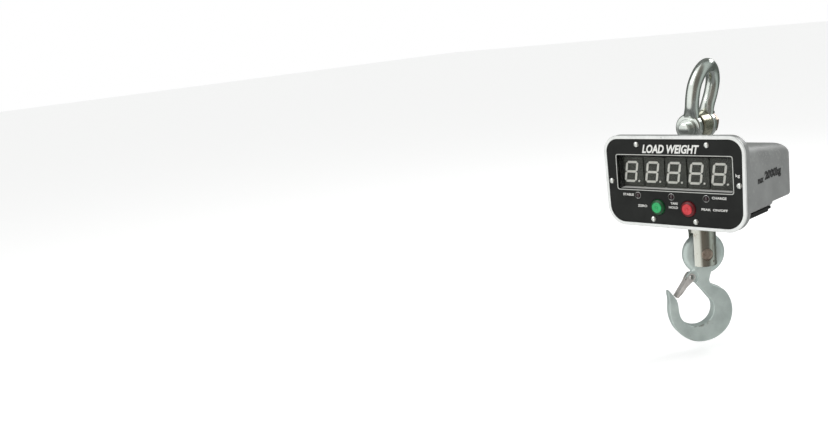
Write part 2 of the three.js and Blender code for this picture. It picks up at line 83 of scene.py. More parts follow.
Link = tuple[bpy.types.Node, str | int, bpy.types.Node, str | int]
MIX_LOW, MIX_HIGH, MIX_OUT = 6, 7, 2  # a colour mix's two inputs and its output


def set_inputs(node: bpy.types.Node, values: dict[str | int, object]) -> None:
    """Set some of a node's inputs, by name or number."""
    for socket, value in values.items():
        node.inputs[socket].default_value = value


class Wiring:
    """Adds nodes to one node tree and joins them."""

    def __init__(self, tree: bpy.types.NodeTree) -> None:
        """Take the tree."""
        self.tree = tree

    def add(self, kind: str, values: dict[str | int, object] | None = None) -> bpy.types.Node:
        """Add a node.

        Args:
            kind: Its type, without the ShaderNode in front.
            values: What some of its inputs are set to.

        Returns:
            The node.
        """
        node = self.tree.nodes.new(f"ShaderNode{kind}")
        set_inputs(node, values or {})
        return node

    def maths(self, operation: str, values: dict[str | int, object] | None = None) -> bpy.types.Node:
        """Add a maths node that does one operation."""
        node = self.add("Math", values)
        node.operation = operation
        return node

    def tint(self, values: dict[str | int, object] | None = None) -> bpy.types.Node:
        """Add a node that mixes two colours."""
        node = self.add("Mix", values)
        node.data_type = "RGBA"
        return node

    def join(self, *links: Link) -> None:
        """Join sockets, each from a node's output to another node's input."""
        for source, output, target, entry in links:
            self.tree.links.new(source.outputs[output], target.inputs[entry])


# ---- Camera, floor and light ----


@dataclass(frozen=True)
class Viewpoint:
    """The camera's place and how it is turned."""

    place: Colour = (0.69756, -1.2063, 0.0930)
    azimuth: float = 47.43
    elevation: float = 10.87
    roll: float = -6.17
    lens: float = 42.26
    sensor: float = 36.0

    def make(self) -> None:
        """Make the scene's camera and set it as the active one."""
        a, e, roll = (math.radians(v) for v in (self.azimuth, self.elevation, self.roll))
        back = Vector((math.sin(a) * math.cos(e), -math.cos(a) * math.cos(e), math.sin(e)))
        level = Vector((math.cos(a), math.sin(a), 0))
        rise = back.cross(level)
        right = math.cos(roll) * level + math.sin(roll) * rise
        up = math.cos(roll) * rise - math.sin(roll) * level
        camera = bpy.data.cameras.new("camera")
        camera.lens, camera.sensor_width = self.lens, self.sensor
        camera.clip_start, camera.clip_end = 0.01, 50.0
        holder = bpy.data.objects.new("camera", camera)
        turn = Matrix((right, up, back)).transposed().to_4x4()
        holder.matrix_world = Matrix.Translation(Vector(self.place)) @ turn
        bpy.context.scene.collection.objects.link(holder)
        bpy.context.scene.camera = holder


@dataclass(frozen=True)
class SoftLight:
    """One area light that faces the scale."""

    name: str
    place: Colour
    size: Point2
    power: float
    tint: Colour = (1.0, 1.0, 1.0)
    mirrored: bool = True

    def make(self, aim: Vector) -> None:
        """Make the light.

        Args:
            aim: The point that the light faces.
        """
        lamp = bpy.data.lights.new(self.name, "AREA")
        lamp.shape = "RECTANGLE"
        lamp.size, lamp.size_y = self.size
        lamp.energy, lamp.color = self.power, self.tint
        holder = bpy.data.objects.new(self.name, lamp)
        away = Vector(self.place) - aim
        turn = away.to_track_quat("Z", "Y").to_matrix().to_4x4()
        holder.matrix_world = Matrix.Translation(Vector(self.place)) @ turn
        holder.visible_glossy = self.mirrored
        bpy.context.scene.collection.objects.link(holder)


@dataclass
class Studio:
    """A pale floor with soft lights, and light and dark cards all round that only metal sees.

    Each card is an angle to the right of the line from the scale to the camera, and a colour.
    """

    floor_drop: float = 0.012
    floor_half: float = 14.0
    floor_colour: Colour = (0.80, 0.80, 0.80)
    floor_glow: float = 0.42
    backdrop: Colour = (1.0, 1.0, 1.0)
    ambient: Colour = (0.62, 0.625, 0.62)
    viewed_from: float = 30.7
    cards: tuple[tuple[float, Colour], ...] = (
        (-180, (0.20, 0.21, 0.20)),
        (-106, (0.10, 0.11, 0.10)),
        (-94, (0.98, 1.0, 0.98)),
        (-26, (1.02, 1.04, 1.0)),
        (-6, (0.19, 0.17, 0.145)),
        (52, (0.15, 0.145, 0.13)),
        (74, (0.50, 0.56, 0.53)),
        (96, (0.40, 0.44, 0.42)),
        (122, (0.09, 0.10, 0.09)),
        (180, (0.20, 0.21, 0.20)),
    )
    lights: tuple[SoftLight, ...] = (
        SoftLight("key_light", (-0.75, -1.35, 1.05), (1.1, 1.1), 8.0),
        SoftLight("fill_light", (1.7, -0.9, 0.5), (0.6, 1.1), 2.0, mirrored=False),
        SoftLight("top_light", (0.1, 0.35, 1.5), (1.1, 0.8), 4.5, mirrored=False),
        SoftLight("rear_light", (0.32, 1.35, 0.72), (0.9, 0.5), 7.0),
    )

    def make(self) -> None:
        """Make the floor, the lights and the surroundings."""
        low, high = CAD_BOX
        bm = bmesh.new()
        bmesh.ops.create_grid(bm, x_segments=8, y_segments=8, size=self.floor_half)
        bmesh.ops.translate(bm, vec=(0, 0, low.z - self.floor_drop), verts=bm.verts[:])
        mesh = bpy.data.meshes.new("floor")
        bm.to_mesh(mesh)
        bm.free()
        floor = bpy.data.objects.new("floor", mesh)
        bpy.context.scene.collection.objects.link(floor)
        mesh.materials.append(self.floor_material())
        floor.visible_glossy = False
        for light in self.lights:
            light.make((low + high) / 2)
        self.surroundings()
        bpy.context.scene.view_settings.view_transform = "Standard"

    def floor_material(self) -> bpy.types.Material:
        """Return a matt pale floor, lit a little from within like a light table."""
        made = bpy.data.materials.new("pale_floor")
        made.use_nodes = True
        shader = made.node_tree.nodes["Principled BSDF"]
        set_inputs(
            shader,
            {
                "Base Color": (*self.floor_colour, 1),
                "Roughness": 0.9,
                "Specular IOR Level": 0.1,
                "Emission Color": (1, 1, 1, 1),
                "Emission Strength": self.floor_glow,
            },
        )
        return made

    def surroundings(self) -> None:
        """White where the camera looks straight at it, cards for reflections, even light otherwise."""
        world = bpy.data.worlds.new("studio")
        world.use_nodes = True
        world.node_tree.nodes.clear()
        wiring = Wiring(world.node_tree)
        place = wiring.add("TexCoord")
        turned = wiring.add("Mapping")
        turned.inputs["Rotation"].default_value[2] = math.radians(180 - self.viewed_from)
        parts = wiring.add("SeparateXYZ")
        angle = wiring.maths("ARCTAN2")
        share = wiring.add("MapRange", {"From Min": -math.pi, "From Max": math.pi})
        ramp = wiring.add("ValToRGB")
        stops = ramp.color_ramp.elements
        while len(stops) < len(self.cards):
            stops.new(0.5)
        for stop, (degrees, colour) in zip(stops, reversed(self.cards), strict=True):
            stop.position = 0.5 - degrees / 360
            stop.color = (*colour, 1)
        plain = wiring.add("Background", {"Color": (*self.backdrop, 1)})
        even = wiring.add("Background", {"Color": (*self.ambient, 1)})
        cards = wiring.add("Background")
        ray = wiring.add("LightPath")
        by_gloss, by_camera = wiring.add("MixShader"), wiring.add("MixShader")
        out = wiring.add("OutputWorld")
        wiring.join(
            (place, "Generated", turned, "Vector"),
            (turned, "Vector", parts, "Vector"),
            (parts, "X", angle, 0),
            (parts, "Y", angle, 1),
            (angle, 0, share, "Value"),
            (share, "Result", ramp, "Fac"),
            (ramp, "Color", cards, "Color"),
            (ray, "Is Glossy Ray", by_gloss, "Fac"),
            (even, "Background", by_gloss, 1),
            (cards, "Background", by_gloss, 2),
            (ray, "Is Camera Ray", by_camera, "Fac"),
            (by_gloss, "Shader", by_camera, 1),
            (plain, "Background", by_camera, 2),
            (by_camera, "Shader", out, "Surface"),
        )
        bpy.context.scene.world = world


# ---- Finishes ----


class Effect(Enum):
    """The shared surface effects, each a shader node group."""

    MOTTLE = "mottle"
    GRAIN = "grain"
    WEAR = "wear"


SocketSpec = tuple[str, str, float | tuple[float, ...] | None]


class Effects:
    """Builds each shared effect once."""

    made: dict[Effect, bpy.types.NodeTree] = {}

    @classmethod
    def get(cls, effect: Effect) -> bpy.types.NodeTree:
        """Return the node group of an effect, building it the first time.

        Args:
            effect: Which effect.

        Returns:
            Its node group.
        """
        if effect not in cls.made:
            maker = {Effect.MOTTLE: cls.mottle, Effect.GRAIN: cls.grain, Effect.WEAR: cls.wear}
            cls.made[effect] = maker[effect]()
        return cls.made[effect]

    @staticmethod
    def blank(
        name: str, inputs: Sequence[SocketSpec], outputs: Sequence[SocketSpec]
    ) -> tuple[Wiring, bpy.types.Node, bpy.types.Node]:
        """Start a node group.

        Args:
            name: The group's name.
            inputs: Each input's name, kind of value and default.
            outputs: Each output's name, kind of value and default.

        Returns:
            The group's wiring with its input and output nodes.
        """
        tree = bpy.data.node_groups.new(name, "ShaderNodeTree")
        for way, specs in (("INPUT", inputs), ("OUTPUT", outputs)):
            for label, kind, default in specs:
                socket = tree.interface.new_socket(label, in_out=way, socket_type=f"NodeSocket{kind}")
                if default is not None:
                    socket.default_value = default
        return Wiring(tree), tree.nodes.new("NodeGroupInput"), tree.nodes.new("NodeGroupOutput")

    @classmethod
    def mottle(cls) -> bpy.types.NodeTree:
        """Two colours and two roughnesses that drift into each other in soft patches."""
        wiring, given, out = cls.blank(
            "mottle",
            [
                ("Vector", "Vector", None),
                ("Scale", "Float", 40.0),
                ("Low", "Color", (0.4, 0.4, 0.4, 1)),
                ("High", "Color", (0.6, 0.6, 0.6, 1)),
                ("Smooth", "Float", 0.3),
                ("Rough", "Float", 0.5),
            ],
            [("Color", "Color", None), ("Roughness", "Float", None), ("Mask", "Float", None)],
        )
        broad = wiring.add("TexNoise", {"Detail": 4.0, "Roughness": 0.6})
        spread = wiring.add("MapRange", {"From Min": 0.34, "From Max": 0.66})
        gloss = wiring.add("MapRange", {"From Min": 0.3, "From Max": 0.7})
        tint = wiring.tint()
        wiring.join(
            (given, "Vector", broad, "Vector"),
            (given, "Scale", broad, "Scale"),
            (broad, "Fac", spread, "Value"),
            (spread, "Result", tint, 0),
            (given, "Low", tint, MIX_LOW),
            (given, "High", tint, MIX_HIGH),
            (broad, "Fac", gloss, "Value"),
            (given, "Smooth", gloss, "To Min"),
            (given, "Rough", gloss, "To Max"),
            (tint, MIX_OUT, out, "Color"),
            (gloss, "Result", out, "Roughness"),
            (spread, "Result", out, "Mask"),
        )
        return wiring.tree

    @classmethod
    def grain(cls) -> bpy.types.NodeTree:
        """A fine height with a broader swell under it."""
        wiring, given, out = cls.blank(
            "grain",
            [("Vector", "Vector", None), ("Scale", "Float", 600.0), ("Swell", "Float", 0.3)],
            [("Height", "Float", None)],
        )
        fine = wiring.add("TexNoise", {"Detail": 3.0})
        wide = wiring.add("TexNoise", {"Detail": 1.0})
        slower = wiring.maths("MULTIPLY", {1: 0.12})
        both = wiring.add("Mix")
        wiring.join(
            (given, "Vector", fine, "Vector"),
            (given, "Vector", wide, "Vector"),
            (given, "Scale", fine, "Scale"),
            (given, "Scale", slower, 0),
            (slower, 0, wide, "Scale"),
            (given, "Swell", both, 0),
            (fine, "Fac", both, 2),
            (wide, "Fac", both, 3),
            (both, 0, out, "Height"),
        )
        return wiring.tree

    @classmethod
    def wear(cls) -> bpy.types.NodeTree:
        """A mask of small specks and rubbed spots, stronger on raised edges."""
        wiring, given, out = cls.blank(
            "wear",
            [("Vector", "Vector", None), ("Scale", "Float", 120.0), ("Amount", "Float", 0.4)],
            [("Mask", "Float", None)],
        )
        shape = wiring.add("NewGeometry")
        edge = wiring.add("MapRange", {"From Min": 0.50, "From Max": 0.60})
        spots = wiring.add("TexNoise", {"Detail": 5.0, "Roughness": 0.7})
        total = wiring.maths("MULTIPLY_ADD", {1: 0.22})
        sharp = wiring.add("MapRange", {"From Min": 0.66, "From Max": 0.74})
        scaled = wiring.maths("MULTIPLY")
        wiring.join(
            (shape, "Pointiness", edge, "Value"),
            (given, "Vector", spots, "Vector"),
            (given, "Scale", spots, "Scale"),
            (edge, "Result", total, 0),
            (spots, "Fac", total, 2),
            (total, 0, sharp, "Value"),
            (sharp, "Result", scaled, 0),
            (given, "Amount", scaled, 1),
            (scaled, 0, out, "Mask"),
        )
        return wiring.tree


@dataclass(frozen=True)
class Finish:
    """One surface finish: its colours, gloss, fine relief and wear.

    Scales are in features per metre, and the relief's depth is in metres.
    """

    name: str
    slot: str
    low: Colour
    high: Colour
    gloss: Point2
    metallic: float = 0.0
    patch: float = 45.0
    stretch: Colour = (1.0, 1.0, 1.0)
    grain: float = 900.0
    swell: float = 0.3
    depth: float = 0.00004
    bump: float = 0.5
    worn: Colour | None = None
    wear: float = 0.5
    wear_scale: float = 150.0
    alpha: float = 1.0
    coat: float = 0.0
    specular: float = 0.5
    # A glow is painted light: emission on a part that is no lamp.
    glow: Colour | None = None

    def material(self) -> bpy.types.Material:
        """Return this finish's material, building it the first time."""
        found = bpy.data.materials.get(self.name)
        if found:
            return found
        made = bpy.data.materials.new(self.name)
        made.use_nodes = True
        made.diffuse_color = (*self.high, 1)
        wiring = Wiring(made.node_tree)
        shader = made.node_tree.nodes["Principled BSDF"]
        set_inputs(
            shader,
            {
                "Metallic": self.metallic,
                "Alpha": self.alpha,
                "Coat Weight": self.coat,
                "Specular IOR Level": self.specular,
            },
        )
        place = wiring.add("TexCoord")
        mapped = wiring.add("Mapping", {"Scale": self.stretch})
        patches = {
            "Scale": self.patch,
            "Low": (*self.low, 1),
            "High": (*self.high, 1),
            "Smooth": self.gloss[0],
            "Rough": self.gloss[1],
        }
        mottle = self.effect(wiring, Effect.MOTTLE, mapped, patches)
        grain = self.effect(wiring, Effect.GRAIN, mapped, {"Scale": self.grain, "Swell": self.swell})
        relief = wiring.add("Bump", {"Strength": self.bump, "Distance": self.depth})
        colour = (mottle, "Color")
        if self.worn:
            specks = {"Scale": self.wear_scale, "Amount": self.wear}
            wear = self.effect(wiring, Effect.WEAR, mapped, specks)
            mix = wiring.tint({MIX_HIGH: (*self.worn, 1)})
            wiring.join((wear, "Mask", mix, 0), (*colour, mix, MIX_LOW))
            colour = (mix, MIX_OUT)
        wiring.join(
            (place, "Object", mapped, "Vector"),
            (*colour, shader, "Base Color"),
            (mottle, "Roughness", shader, "Roughness"),
            (grain, "Height", relief, "Height"),
            (relief, "Normal", shader, "Normal"),
        )
        if self.glow:
            set_inputs(shader, {"Emission Color": (*self.glow, 1), "Emission Strength": 1.0})
        return made

    @staticmethod
    def effect(
        wiring: Wiring, effect: Effect, mapped: bpy.types.Node, values: dict[str | int, object]
    ) -> bpy.types.Node:
        """Place an effect in a material.

        Args:
            wiring: The material's nodes.
            effect: Which effect.
            mapped: The node whose Vector output the effect reads.
            values: What its other inputs are set to.

        Returns:
            The group node.
        """
        node = wiring.add("Group")
        node.node_tree = Effects.get(effect)
        set_inputs(node, values)
        wiring.join((mapped, "Vector", node, "Vector"))
        return node


BRIGHT_ZINC = Finish(
    "bright_zinc", "zinc", (0.66, 0.70, 0.67), (0.86, 0.89, 0.86), (0.16, 0.30), 1.0,
    patch=38.0, grain=420.0, swell=0.75, depth=0.00010, bump=0.3,
    worn=(0.42, 0.37, 0.30), wear=0.35,
)
FORGED_ZINC = Finish(
    "forged_zinc", "hook_zinc", (0.46, 0.53, 0.51), (0.62, 0.70, 0.67), (0.30, 0.44), 0.40,
    patch=30.0, grain=700.0, swell=0.55, depth=0.00020, bump=0.45,
    worn=(0.20, 0.19, 0.16), wear=0.7, wear_scale=24.0,
)
TURNED_ZINC = Finish(
    "turned_zinc", "zinc", (0.58, 0.58, 0.53), (0.80, 0.80, 0.75), (0.14, 0.26), 1.0,
    patch=26.0, stretch=(1.0, 1.0, 0.4), grain=500.0, swell=0.5, depth=0.00008, bump=0.3,
    worn=(0.38, 0.31, 0.25), wear=0.5,
)
CELL_STEEL = Finish(
    "cell_steel", "steel", (0.40, 0.39, 0.29), (0.62, 0.61, 0.49), (0.20, 0.34), 1.0,
    patch=60.0, stretch=(1.0, 1.0, 3.0), grain=900.0,
)
PIN_STEEL = Finish(
    "pin_steel", "steel", (0.34, 0.27, 0.22), (0.50, 0.41, 0.34), (0.26, 0.40), 0.7, patch=220.0,
)
CHROME = Finish(
    "screw_chrome", "screw", (0.78, 0.79, 0.77), (0.90, 0.91, 0.89), (0.20, 0.32), 0.9,
    patch=300.0,
)
BROWN_ZINC = Finish(
    "brown_zinc", "zinc", (0.20, 0.14, 0.10), (0.42, 0.32, 0.25), (0.28, 0.44), 0.9,
    patch=90.0, worn=(0.60, 0.58, 0.52), wear=0.4,
)
DARK_CHROME = Finish(
    "dark_chrome", "screw", (0.34, 0.34, 0.34), (0.55, 0.55, 0.54), (0.16, 0.28), 1.0,
    patch=260.0,
)
ENAMEL = Finish(
    "grey_enamel", "case_paint", (0.215, 0.220, 0.217), (0.270, 0.277, 0.273), (0.28, 0.38),
    patch=24.0, grain=520.0, swell=0.35, depth=0.00022, bump=0.5,
    worn=(0.36, 0.37, 0.36), wear=0.5, wear_scale=220.0, specular=0.4,
)
BASE_BLACK = Finish(
    "base_black", "case_paint", (0.014, 0.015, 0.014), (0.026, 0.027, 0.026), (0.45, 0.6),
    patch=40.0,
)
BRIGHT_RIM = Finish(
    "bright_rim", "bezel", (0.74, 0.75, 0.74), (0.86, 0.87, 0.86), (0.26, 0.40), 0.35,
    patch=55.0, grain=800.0, worn=(0.50, 0.50, 0.48), wear=0.3,
)
PANEL_BLACK = Finish(
    "panel_black", "panel", (0.0105, 0.0110, 0.0105), (0.0165, 0.0175, 0.0165), (0.30, 0.42),
    patch=35.0, grain=1600.0, depth=0.00003, specular=0.16,
)
PRINT_WHITE = Finish(
    "print_white", "panel", (0.70, 0.70, 0.67), (0.82, 0.82, 0.79), (0.40, 0.55), patch=300.0,
)
PRINT_GREY = Finish(
    "print_grey", "panel", (0.42, 0.43, 0.40), (0.54, 0.55, 0.52), (0.40, 0.55), patch=300.0,
)
STENCIL = Finish(
    "stencil_ink", "case_paint", (0.008, 0.008, 0.008), (0.020, 0.020, 0.020), (0.5, 0.7),
    patch=350.0, worn=(0.16, 0.16, 0.16), wear=0.35, wear_scale=420.0, specular=0.2,
)
LENS = Finish(
    "smoked_lens", "lens", (0.030, 0.033, 0.029), (0.036, 0.040, 0.034), (0.04, 0.07),
    patch=20.0, alpha=0.14, grain=60.0, depth=0.00002, specular=0.22,
)
MODULE = Finish(
    "module_body", "digits", (0.050, 0.054, 0.044), (0.068, 0.072, 0.060), (0.42, 0.58),
    patch=120.0,
)
# Pale unlit strokes; their glow is painted light that keeps them bright in the shaded display well.
STROKE = Finish(
    "module_stroke_painted_glow", "digits", (0.80, 0.80, 0.73), (0.90, 0.90, 0.83), (0.35, 0.50), patch=180.0,
    glow=(0.10, 0.10, 0.09),
)
# The display surround's walls, black as painted shade of the window recess.
SHADED_SURROUND = Finish(
    "surround_painted_shade", "panel", (0.010, 0.010, 0.010), (0.016, 0.016, 0.015), (0.5, 0.7),
)
# A pale glowing finish for the surround's upward-facing bottom wall: a painted highlight.
SILL_HIGHLIGHT = Finish(
    "surround_sill_painted_highlight", "panel", (0.74, 0.75, 0.72), (0.88, 0.89, 0.86), (0.4, 0.6),
    glow=(0.26, 0.26, 0.25),
)
GREEN_TOP = Finish(
    "green_cap", "green", (0.008, 0.34, 0.095), (0.014, 0.46, 0.14), (0.26, 0.38),
    patch=160.0, coat=0.2,
)
# A darker copy of the green cap's colour: painted shade on the button's skirt.
GREEN_SKIRT_SHADE = Finish(
    "green_skirt_painted_shade", "green", (0.004, 0.055, 0.016), (0.007, 0.085, 0.026), (0.34, 0.50),
    patch=160.0,
)
RED_TOP = Finish(
    "red_cap", "red", (0.52, 0.020, 0.030), (0.68, 0.034, 0.048), (0.26, 0.38),
    patch=160.0, coat=0.2,
)
# A darker copy of the red cap's colour: painted shade on the button's skirt.
RED_SKIRT_SHADE = Finish(
    "red_skirt_painted_shade", "red", (0.10, 0.005, 0.008), (0.15, 0.008, 0.012), (0.34, 0.50), patch=160.0,
)
LAMP_GLASS = Finish(
    "lamp_glass", "lamp", (0.020, 0.008, 0.012), (0.035, 0.012, 0.018), (0.06, 0.12),
    patch=200.0, coat=0.6,
)
RUBBER = Finish(
    "black_rubber", "rubber", (0.012, 0.012, 0.012), (0.022, 0.022, 0.021), (0.62, 0.80),
    grain=1400.0,
)
SOCKET = Finish(
    "socket_black", "black", (0.016, 0.016, 0.017), (0.026, 0.026, 0.027), (0.35, 0.5),
)
BOARD = Finish("board_green", "board", (0.010, 0.09, 0.045), (0.016, 0.14, 0.07), (0.3, 0.5))
BOARD_DARK = Finish("board_dark", "board", (0.20, 0.205, 0.18), (0.26, 0.265, 0.235), (0.5, 0.6))
CELL_PACK = Finish("battery_wrap", "battery", (0.02, 0.025, 0.05), (0.03, 0.04, 0.08), (0.3, 0.4))
BRASS = Finish("cage_brass", "brass", (0.50, 0.38, 0.16), (0.62, 0.48, 0.22), (0.2, 0.35), 1.0)
PLAIN_STEEL = Finish(
    "plain_steel", "steel", (0.46, 0.47, 0.46), (0.62, 0.63, 0.62), (0.22, 0.38), 1.0, patch=90.0,
)
LATCH_STEEL = Finish(
    "latch_steel", "steel", (0.56, 0.53, 0.51), (0.72, 0.69, 0.66), (0.26, 0.42), 0.4,
    patch=70.0, worn=(0.22, 0.20, 0.18), wear=0.5,
)


# ---- Shaping ----


class Axis(Enum):
    """Which way a slab is thick, or a turned piece's axis runs."""

    Y = "y"
    Z = "z"


# TO_Z lays a Y-axis piece along Z: (x, y, z) goes to (x, -z, y). SWAP_YZ also turns it inside out.
TO_Z = Matrix.Rotation(math.radians(90), 4, "X")
SWAP_YZ = Matrix(((1, 0, 0, 0), (0, 0, 1, 0), (0, 1, 0, 0), (0, 0, 0, 1)))


def smooth_path(points: Sequence[Vector], steps: int) -> list[Vector]:
    """Run a smooth curve through points.

    Args:
        points: The points, in order.
        steps: Pieces of curve between two points.

    Returns:
        Points on the curve, the given ones among them.
    """
    ends = [2 * points[0] - points[1], *points, 2 * points[-1] - points[-2]]
    made = []
    for a, b, c, d in zip(ends, ends[1:], ends[2:], ends[3:], strict=False):
        square, cube = 2 * a - 5 * b + 4 * c - d, 3 * b - a - 3 * c + d
        for i in range(steps):
            t = i / steps
            made.append(0.5 * (2 * b + (c - a) * t + square * t**2 + cube * t**3))
    return [*made, points[-1].copy()]


def rectangle(left: float, right: float, low: float, high: float) -> list[Point2]:
    """Return a rectangle's corners, anticlockwise from the lower left one."""
    return [(left, low), (right, low), (right, high), (left, high)]


class Shape:
    """A workpiece in millimetres, shaped with bmesh operators."""

    def __init__(self) -> None:
        """Start with nothing."""
        self.bm = bmesh.new()

    # -- starting shapes --

    @classmethod
    def slab(
        cls,
        corners: Sequence[Point2],
        radii: float | Sequence[float],
        low: float,
        high: float,
        edge: float | Point2 = 0.0,
        axis: Axis = Axis.Y,
        steps: int = 10,
    ) -> "Shape":
        """Make a plate of an outline whose corners are rounded.

        Args:
            corners: The outline's corners: X and Z for a plate thick in Y, X and Y for one in Z.
            radii: The corners' radii, one for all or one each.
            low: Where the plate starts along its thickness.
            high: Where it ends.
            edge: The rounding of its rims, one for both or one for each end.
            axis: Which way it is thick.
            steps: Segments in a rounded corner.

        Returns:
            The plate.
        """
        shape = cls()
        bm = shape.bm
        each = [radii] * len(corners) if isinstance(radii, float | int) else list(radii)
        verts = [bm.verts.new((x, 0, z)) for x, z in corners]
        bm.faces.new(verts)
        for radius in sorted(set(each) - {0}):
            chosen = [v for v, r in zip(verts, each, strict=True) if r == radius]
            bmesh.ops.bevel(
                bm, geom=chosen, offset=radius, offset_type="OFFSET", segments=steps,
                profile=0.5, affect="VERTICES", material=-1,
            )
        grown = bmesh.ops.extrude_face_region(bm, geom=bm.faces[:])["geom"]
        moved = [v for v in grown if isinstance(v, bmesh.types.BMVert)]
        bmesh.ops.translate(bm, vec=(0, high - low, 0), verts=moved)
        bmesh.ops.translate(bm, vec=(0, low, 0), verts=bm.verts[:])
        bmesh.ops.recalc_face_normals(bm, faces=bm.faces[:])
        first, last = edge if isinstance(edge, tuple) else (edge, edge)
        for rounding, at in ((first, low), (last, high)):
            if rounding > 0:
                shape.round_rim(lambda e, at=at: all(abs(v.co.y - at) < WELD for v in e.verts), rounding)
        if axis is Axis.Z:
            shape.apply(SWAP_YZ)
            bmesh.ops.reverse_faces(bm, faces=bm.faces[:])
        return shape

    @classmethod
    def box(cls, low: Colour, high: Colour, edge: float = 0.0, steps: int = FINE) -> "Shape":
        """Make a block with rounded edges.

        Args:
            low: Its lowest corner.
            high: Its highest corner.
            edge: The rounding of its edges.
            steps: Segments across a rounded edge.

        Returns:
            The block.
        """
        shape = cls()
        bmesh.ops.create_cube(shape.bm, size=1)
        size = [b - a for a, b in zip(low, high, strict=True)]
        middle = [(a + b) / 2 for a, b in zip(low, high, strict=True)]
        bmesh.ops.scale(shape.bm, vec=size, verts=shape.bm.verts[:])
        bmesh.ops.translate(shape.bm, vec=middle, verts=shape.bm.verts[:])
        if edge > 0:
            shape.round_rim(lambda _edge: True, edge, steps)
        return shape

    @classmethod
    def turned(
        cls,
        profile: Sequence[Point2],
        sides: int = 64,
        axis: Axis = Axis.Y,
        closed: bool = False,
    ) -> "Shape":
        """Spin a profile of radius and height pairs about an axis.

        Args:
            profile: The pairs, in order.
            sides: Steps in a full turn.
            axis: The axis, through the origin.
            closed: Whether the last pair joins the first, as in a ring.

        Returns:
            The turned piece.
        """
        shape = cls()
        bm = shape.bm
        verts = [bm.verts.new((r, y, 0)) for r, y in profile]
        pairs = list(zip(verts, verts[1:], strict=False)) + ([(verts[-1], verts[0])] if closed else [])
        edges = [bm.edges.new(pair) for pair in pairs]
        bmesh.ops.spin(
            bm, geom=[*verts, *edges], cent=(0, 0, 0), axis=(0, 1, 0), dvec=(0, 0, 0),
            angle=2 * math.pi, steps=sides, use_merge=True, use_duplicate=False,
        )
        bmesh.ops.remove_doubles(bm, verts=bm.verts[:], dist=WELD)
        bmesh.ops.recalc_face_normals(bm, faces=bm.faces[:])
        return shape.apply(TO_Z) if axis is Axis.Z else shape

    @classmethod
    def rod(
        cls, radius: float, low: float, high: float, sides: int = 64, axis: Axis = Axis.Y
    ) -> "Shape":
        """Make a plain round rod, which also serves as a drill.

        Args:
            radius: Its radius.
            low: Where it starts along its axis.
            high: Where it ends.
            sides: Steps in a full turn.
            axis: The axis, through the origin.

        Returns:
            The rod.
        """
        return cls.turned([(0, low), (radius, low), (radius, high), (0, high)], sides, axis)

    @classmethod
    def swept(cls, path: Sequence[Vector], sizes: Sequence[Point2], sides: int, side: Vector) -> "Shape":
        """Sweep a round or oval section along a path, with a flat cap at each end.

        Args:
            path: The path's points.
            sizes: The section's half sizes at each point: across `side`, and along it.
            sides: Sides of the section.
            side: A direction that the path never follows.

        Returns:
            The swept bar.
        """
        shape = cls()
        bm = shape.bm
        stations = []
        for i, (at, (across, along)) in enumerate(zip(path, sizes, strict=True)):
            ahead = (path[min(i + 1, len(path) - 1)] - path[max(i - 1, 0)]).normalized()
            flat = (side - side.dot(ahead) * ahead).normalized()
            other = ahead.cross(flat)
            turn = Matrix((other, flat, ahead)).transposed().to_4x4()
            scale = Matrix.Diagonal((across, along, 1, 1))
            stations.append(Matrix.Translation(at) @ turn @ scale)
        bmesh.ops.create_circle(bm, cap_ends=True, segments=sides, radius=1)
        bmesh.ops.transform(bm, matrix=stations[0], verts=bm.verts[:])
        rim = bm.edges[:]
        for before, after in zip(stations, stations[1:], strict=False):
            grown = bmesh.ops.extrude_edge_only(bm, edges=rim)["geom"]
            ring = [v for v in grown if isinstance(v, bmesh.types.BMVert)]
            rim = [e for e in grown if isinstance(e, bmesh.types.BMEdge)]
            bmesh.ops.transform(bm, matrix=after @ before.inverted(), verts=ring)
        bmesh.ops.contextual_create(bm, geom=rim)
        bmesh.ops.recalc_face_normals(bm, faces=bm.faces[:])
        return shape

    @classmethod
    def lettering(
        cls,
        words: str,
        centre: Point2,
        size: Point2,
        bold: float = 0.0,
        slant: float = 0.0,
        depth: float = 0.12,
    ) -> "Shape":
        """Make raised lettering that faces -Y, its back at y = 0.

        Args:
            words: What it says.
            centre: The middle of the words, in X and Z.
            size: Their width and height.
            bold: How much the strokes are fattened.
            slant: How far the letters lean.
            depth: How far they stand out.

        Returns:
            The lettering.
        """
        curve = bpy.data.curves.new("words", "FONT")
        curve.body, curve.shear, curve.offset = words, slant, bold
        curve.extrude, curve.resolution_u = 0.5, 3
        holder = bpy.data.objects.new("words", curve)
        bpy.context.scene.collection.objects.link(holder)
        bpy.context.view_layer.update()
        evaluated = holder.evaluated_get(bpy.context.evaluated_depsgraph_get())
        mesh = bpy.data.meshes.new_from_object(evaluated)
        shape = cls()
        shape.bm.from_mesh(mesh)
        bpy.data.objects.remove(holder)
        bpy.data.curves.remove(curve)
        bpy.data.meshes.remove(mesh)
        bmesh.ops.remove_doubles(shape.bm, verts=shape.bm.verts[:], dist=1e-5)
        low, high = shape.extent()
        span = high - low
        fit = Matrix.Diagonal((size[0] / span.x, size[1] / span.y, depth / span.z, 1))
        middle = Matrix.Translation(-(low + high) / 2)
        lift = Matrix.Translation((centre[0], -depth / 2, centre[1]))
        return shape.apply(lift @ TO_Z @ fit @ middle)

    # -- changes --

    def extent(self) -> tuple[Vector, Vector]:
        """Return the lowest and highest corners of the shape's box."""
        places = [v.co for v in self.bm.verts]
        return (
            Vector([min(p[i] for p in places) for i in range(3)]),
            Vector([max(p[i] for p in places) for i in range(3)]),
        )

    def apply(self, matrix: Matrix) -> "Shape":
        """Turn, move or scale the shape."""
        bmesh.ops.transform(self.bm, matrix=matrix, verts=self.bm.verts[:])
        return self

    def move(self, x: float = 0.0, y: float = 0.0, z: float = 0.0) -> "Shape":
        """Move the shape."""
        return self.apply(Matrix.Translation((x, y, z)))

    def warp(self, change: Callable[[Vector], Vector]) -> "Shape":
        """Move each point to where `change` puts it."""
        for vert in self.bm.verts:
            vert.co = change(vert.co)
        return self

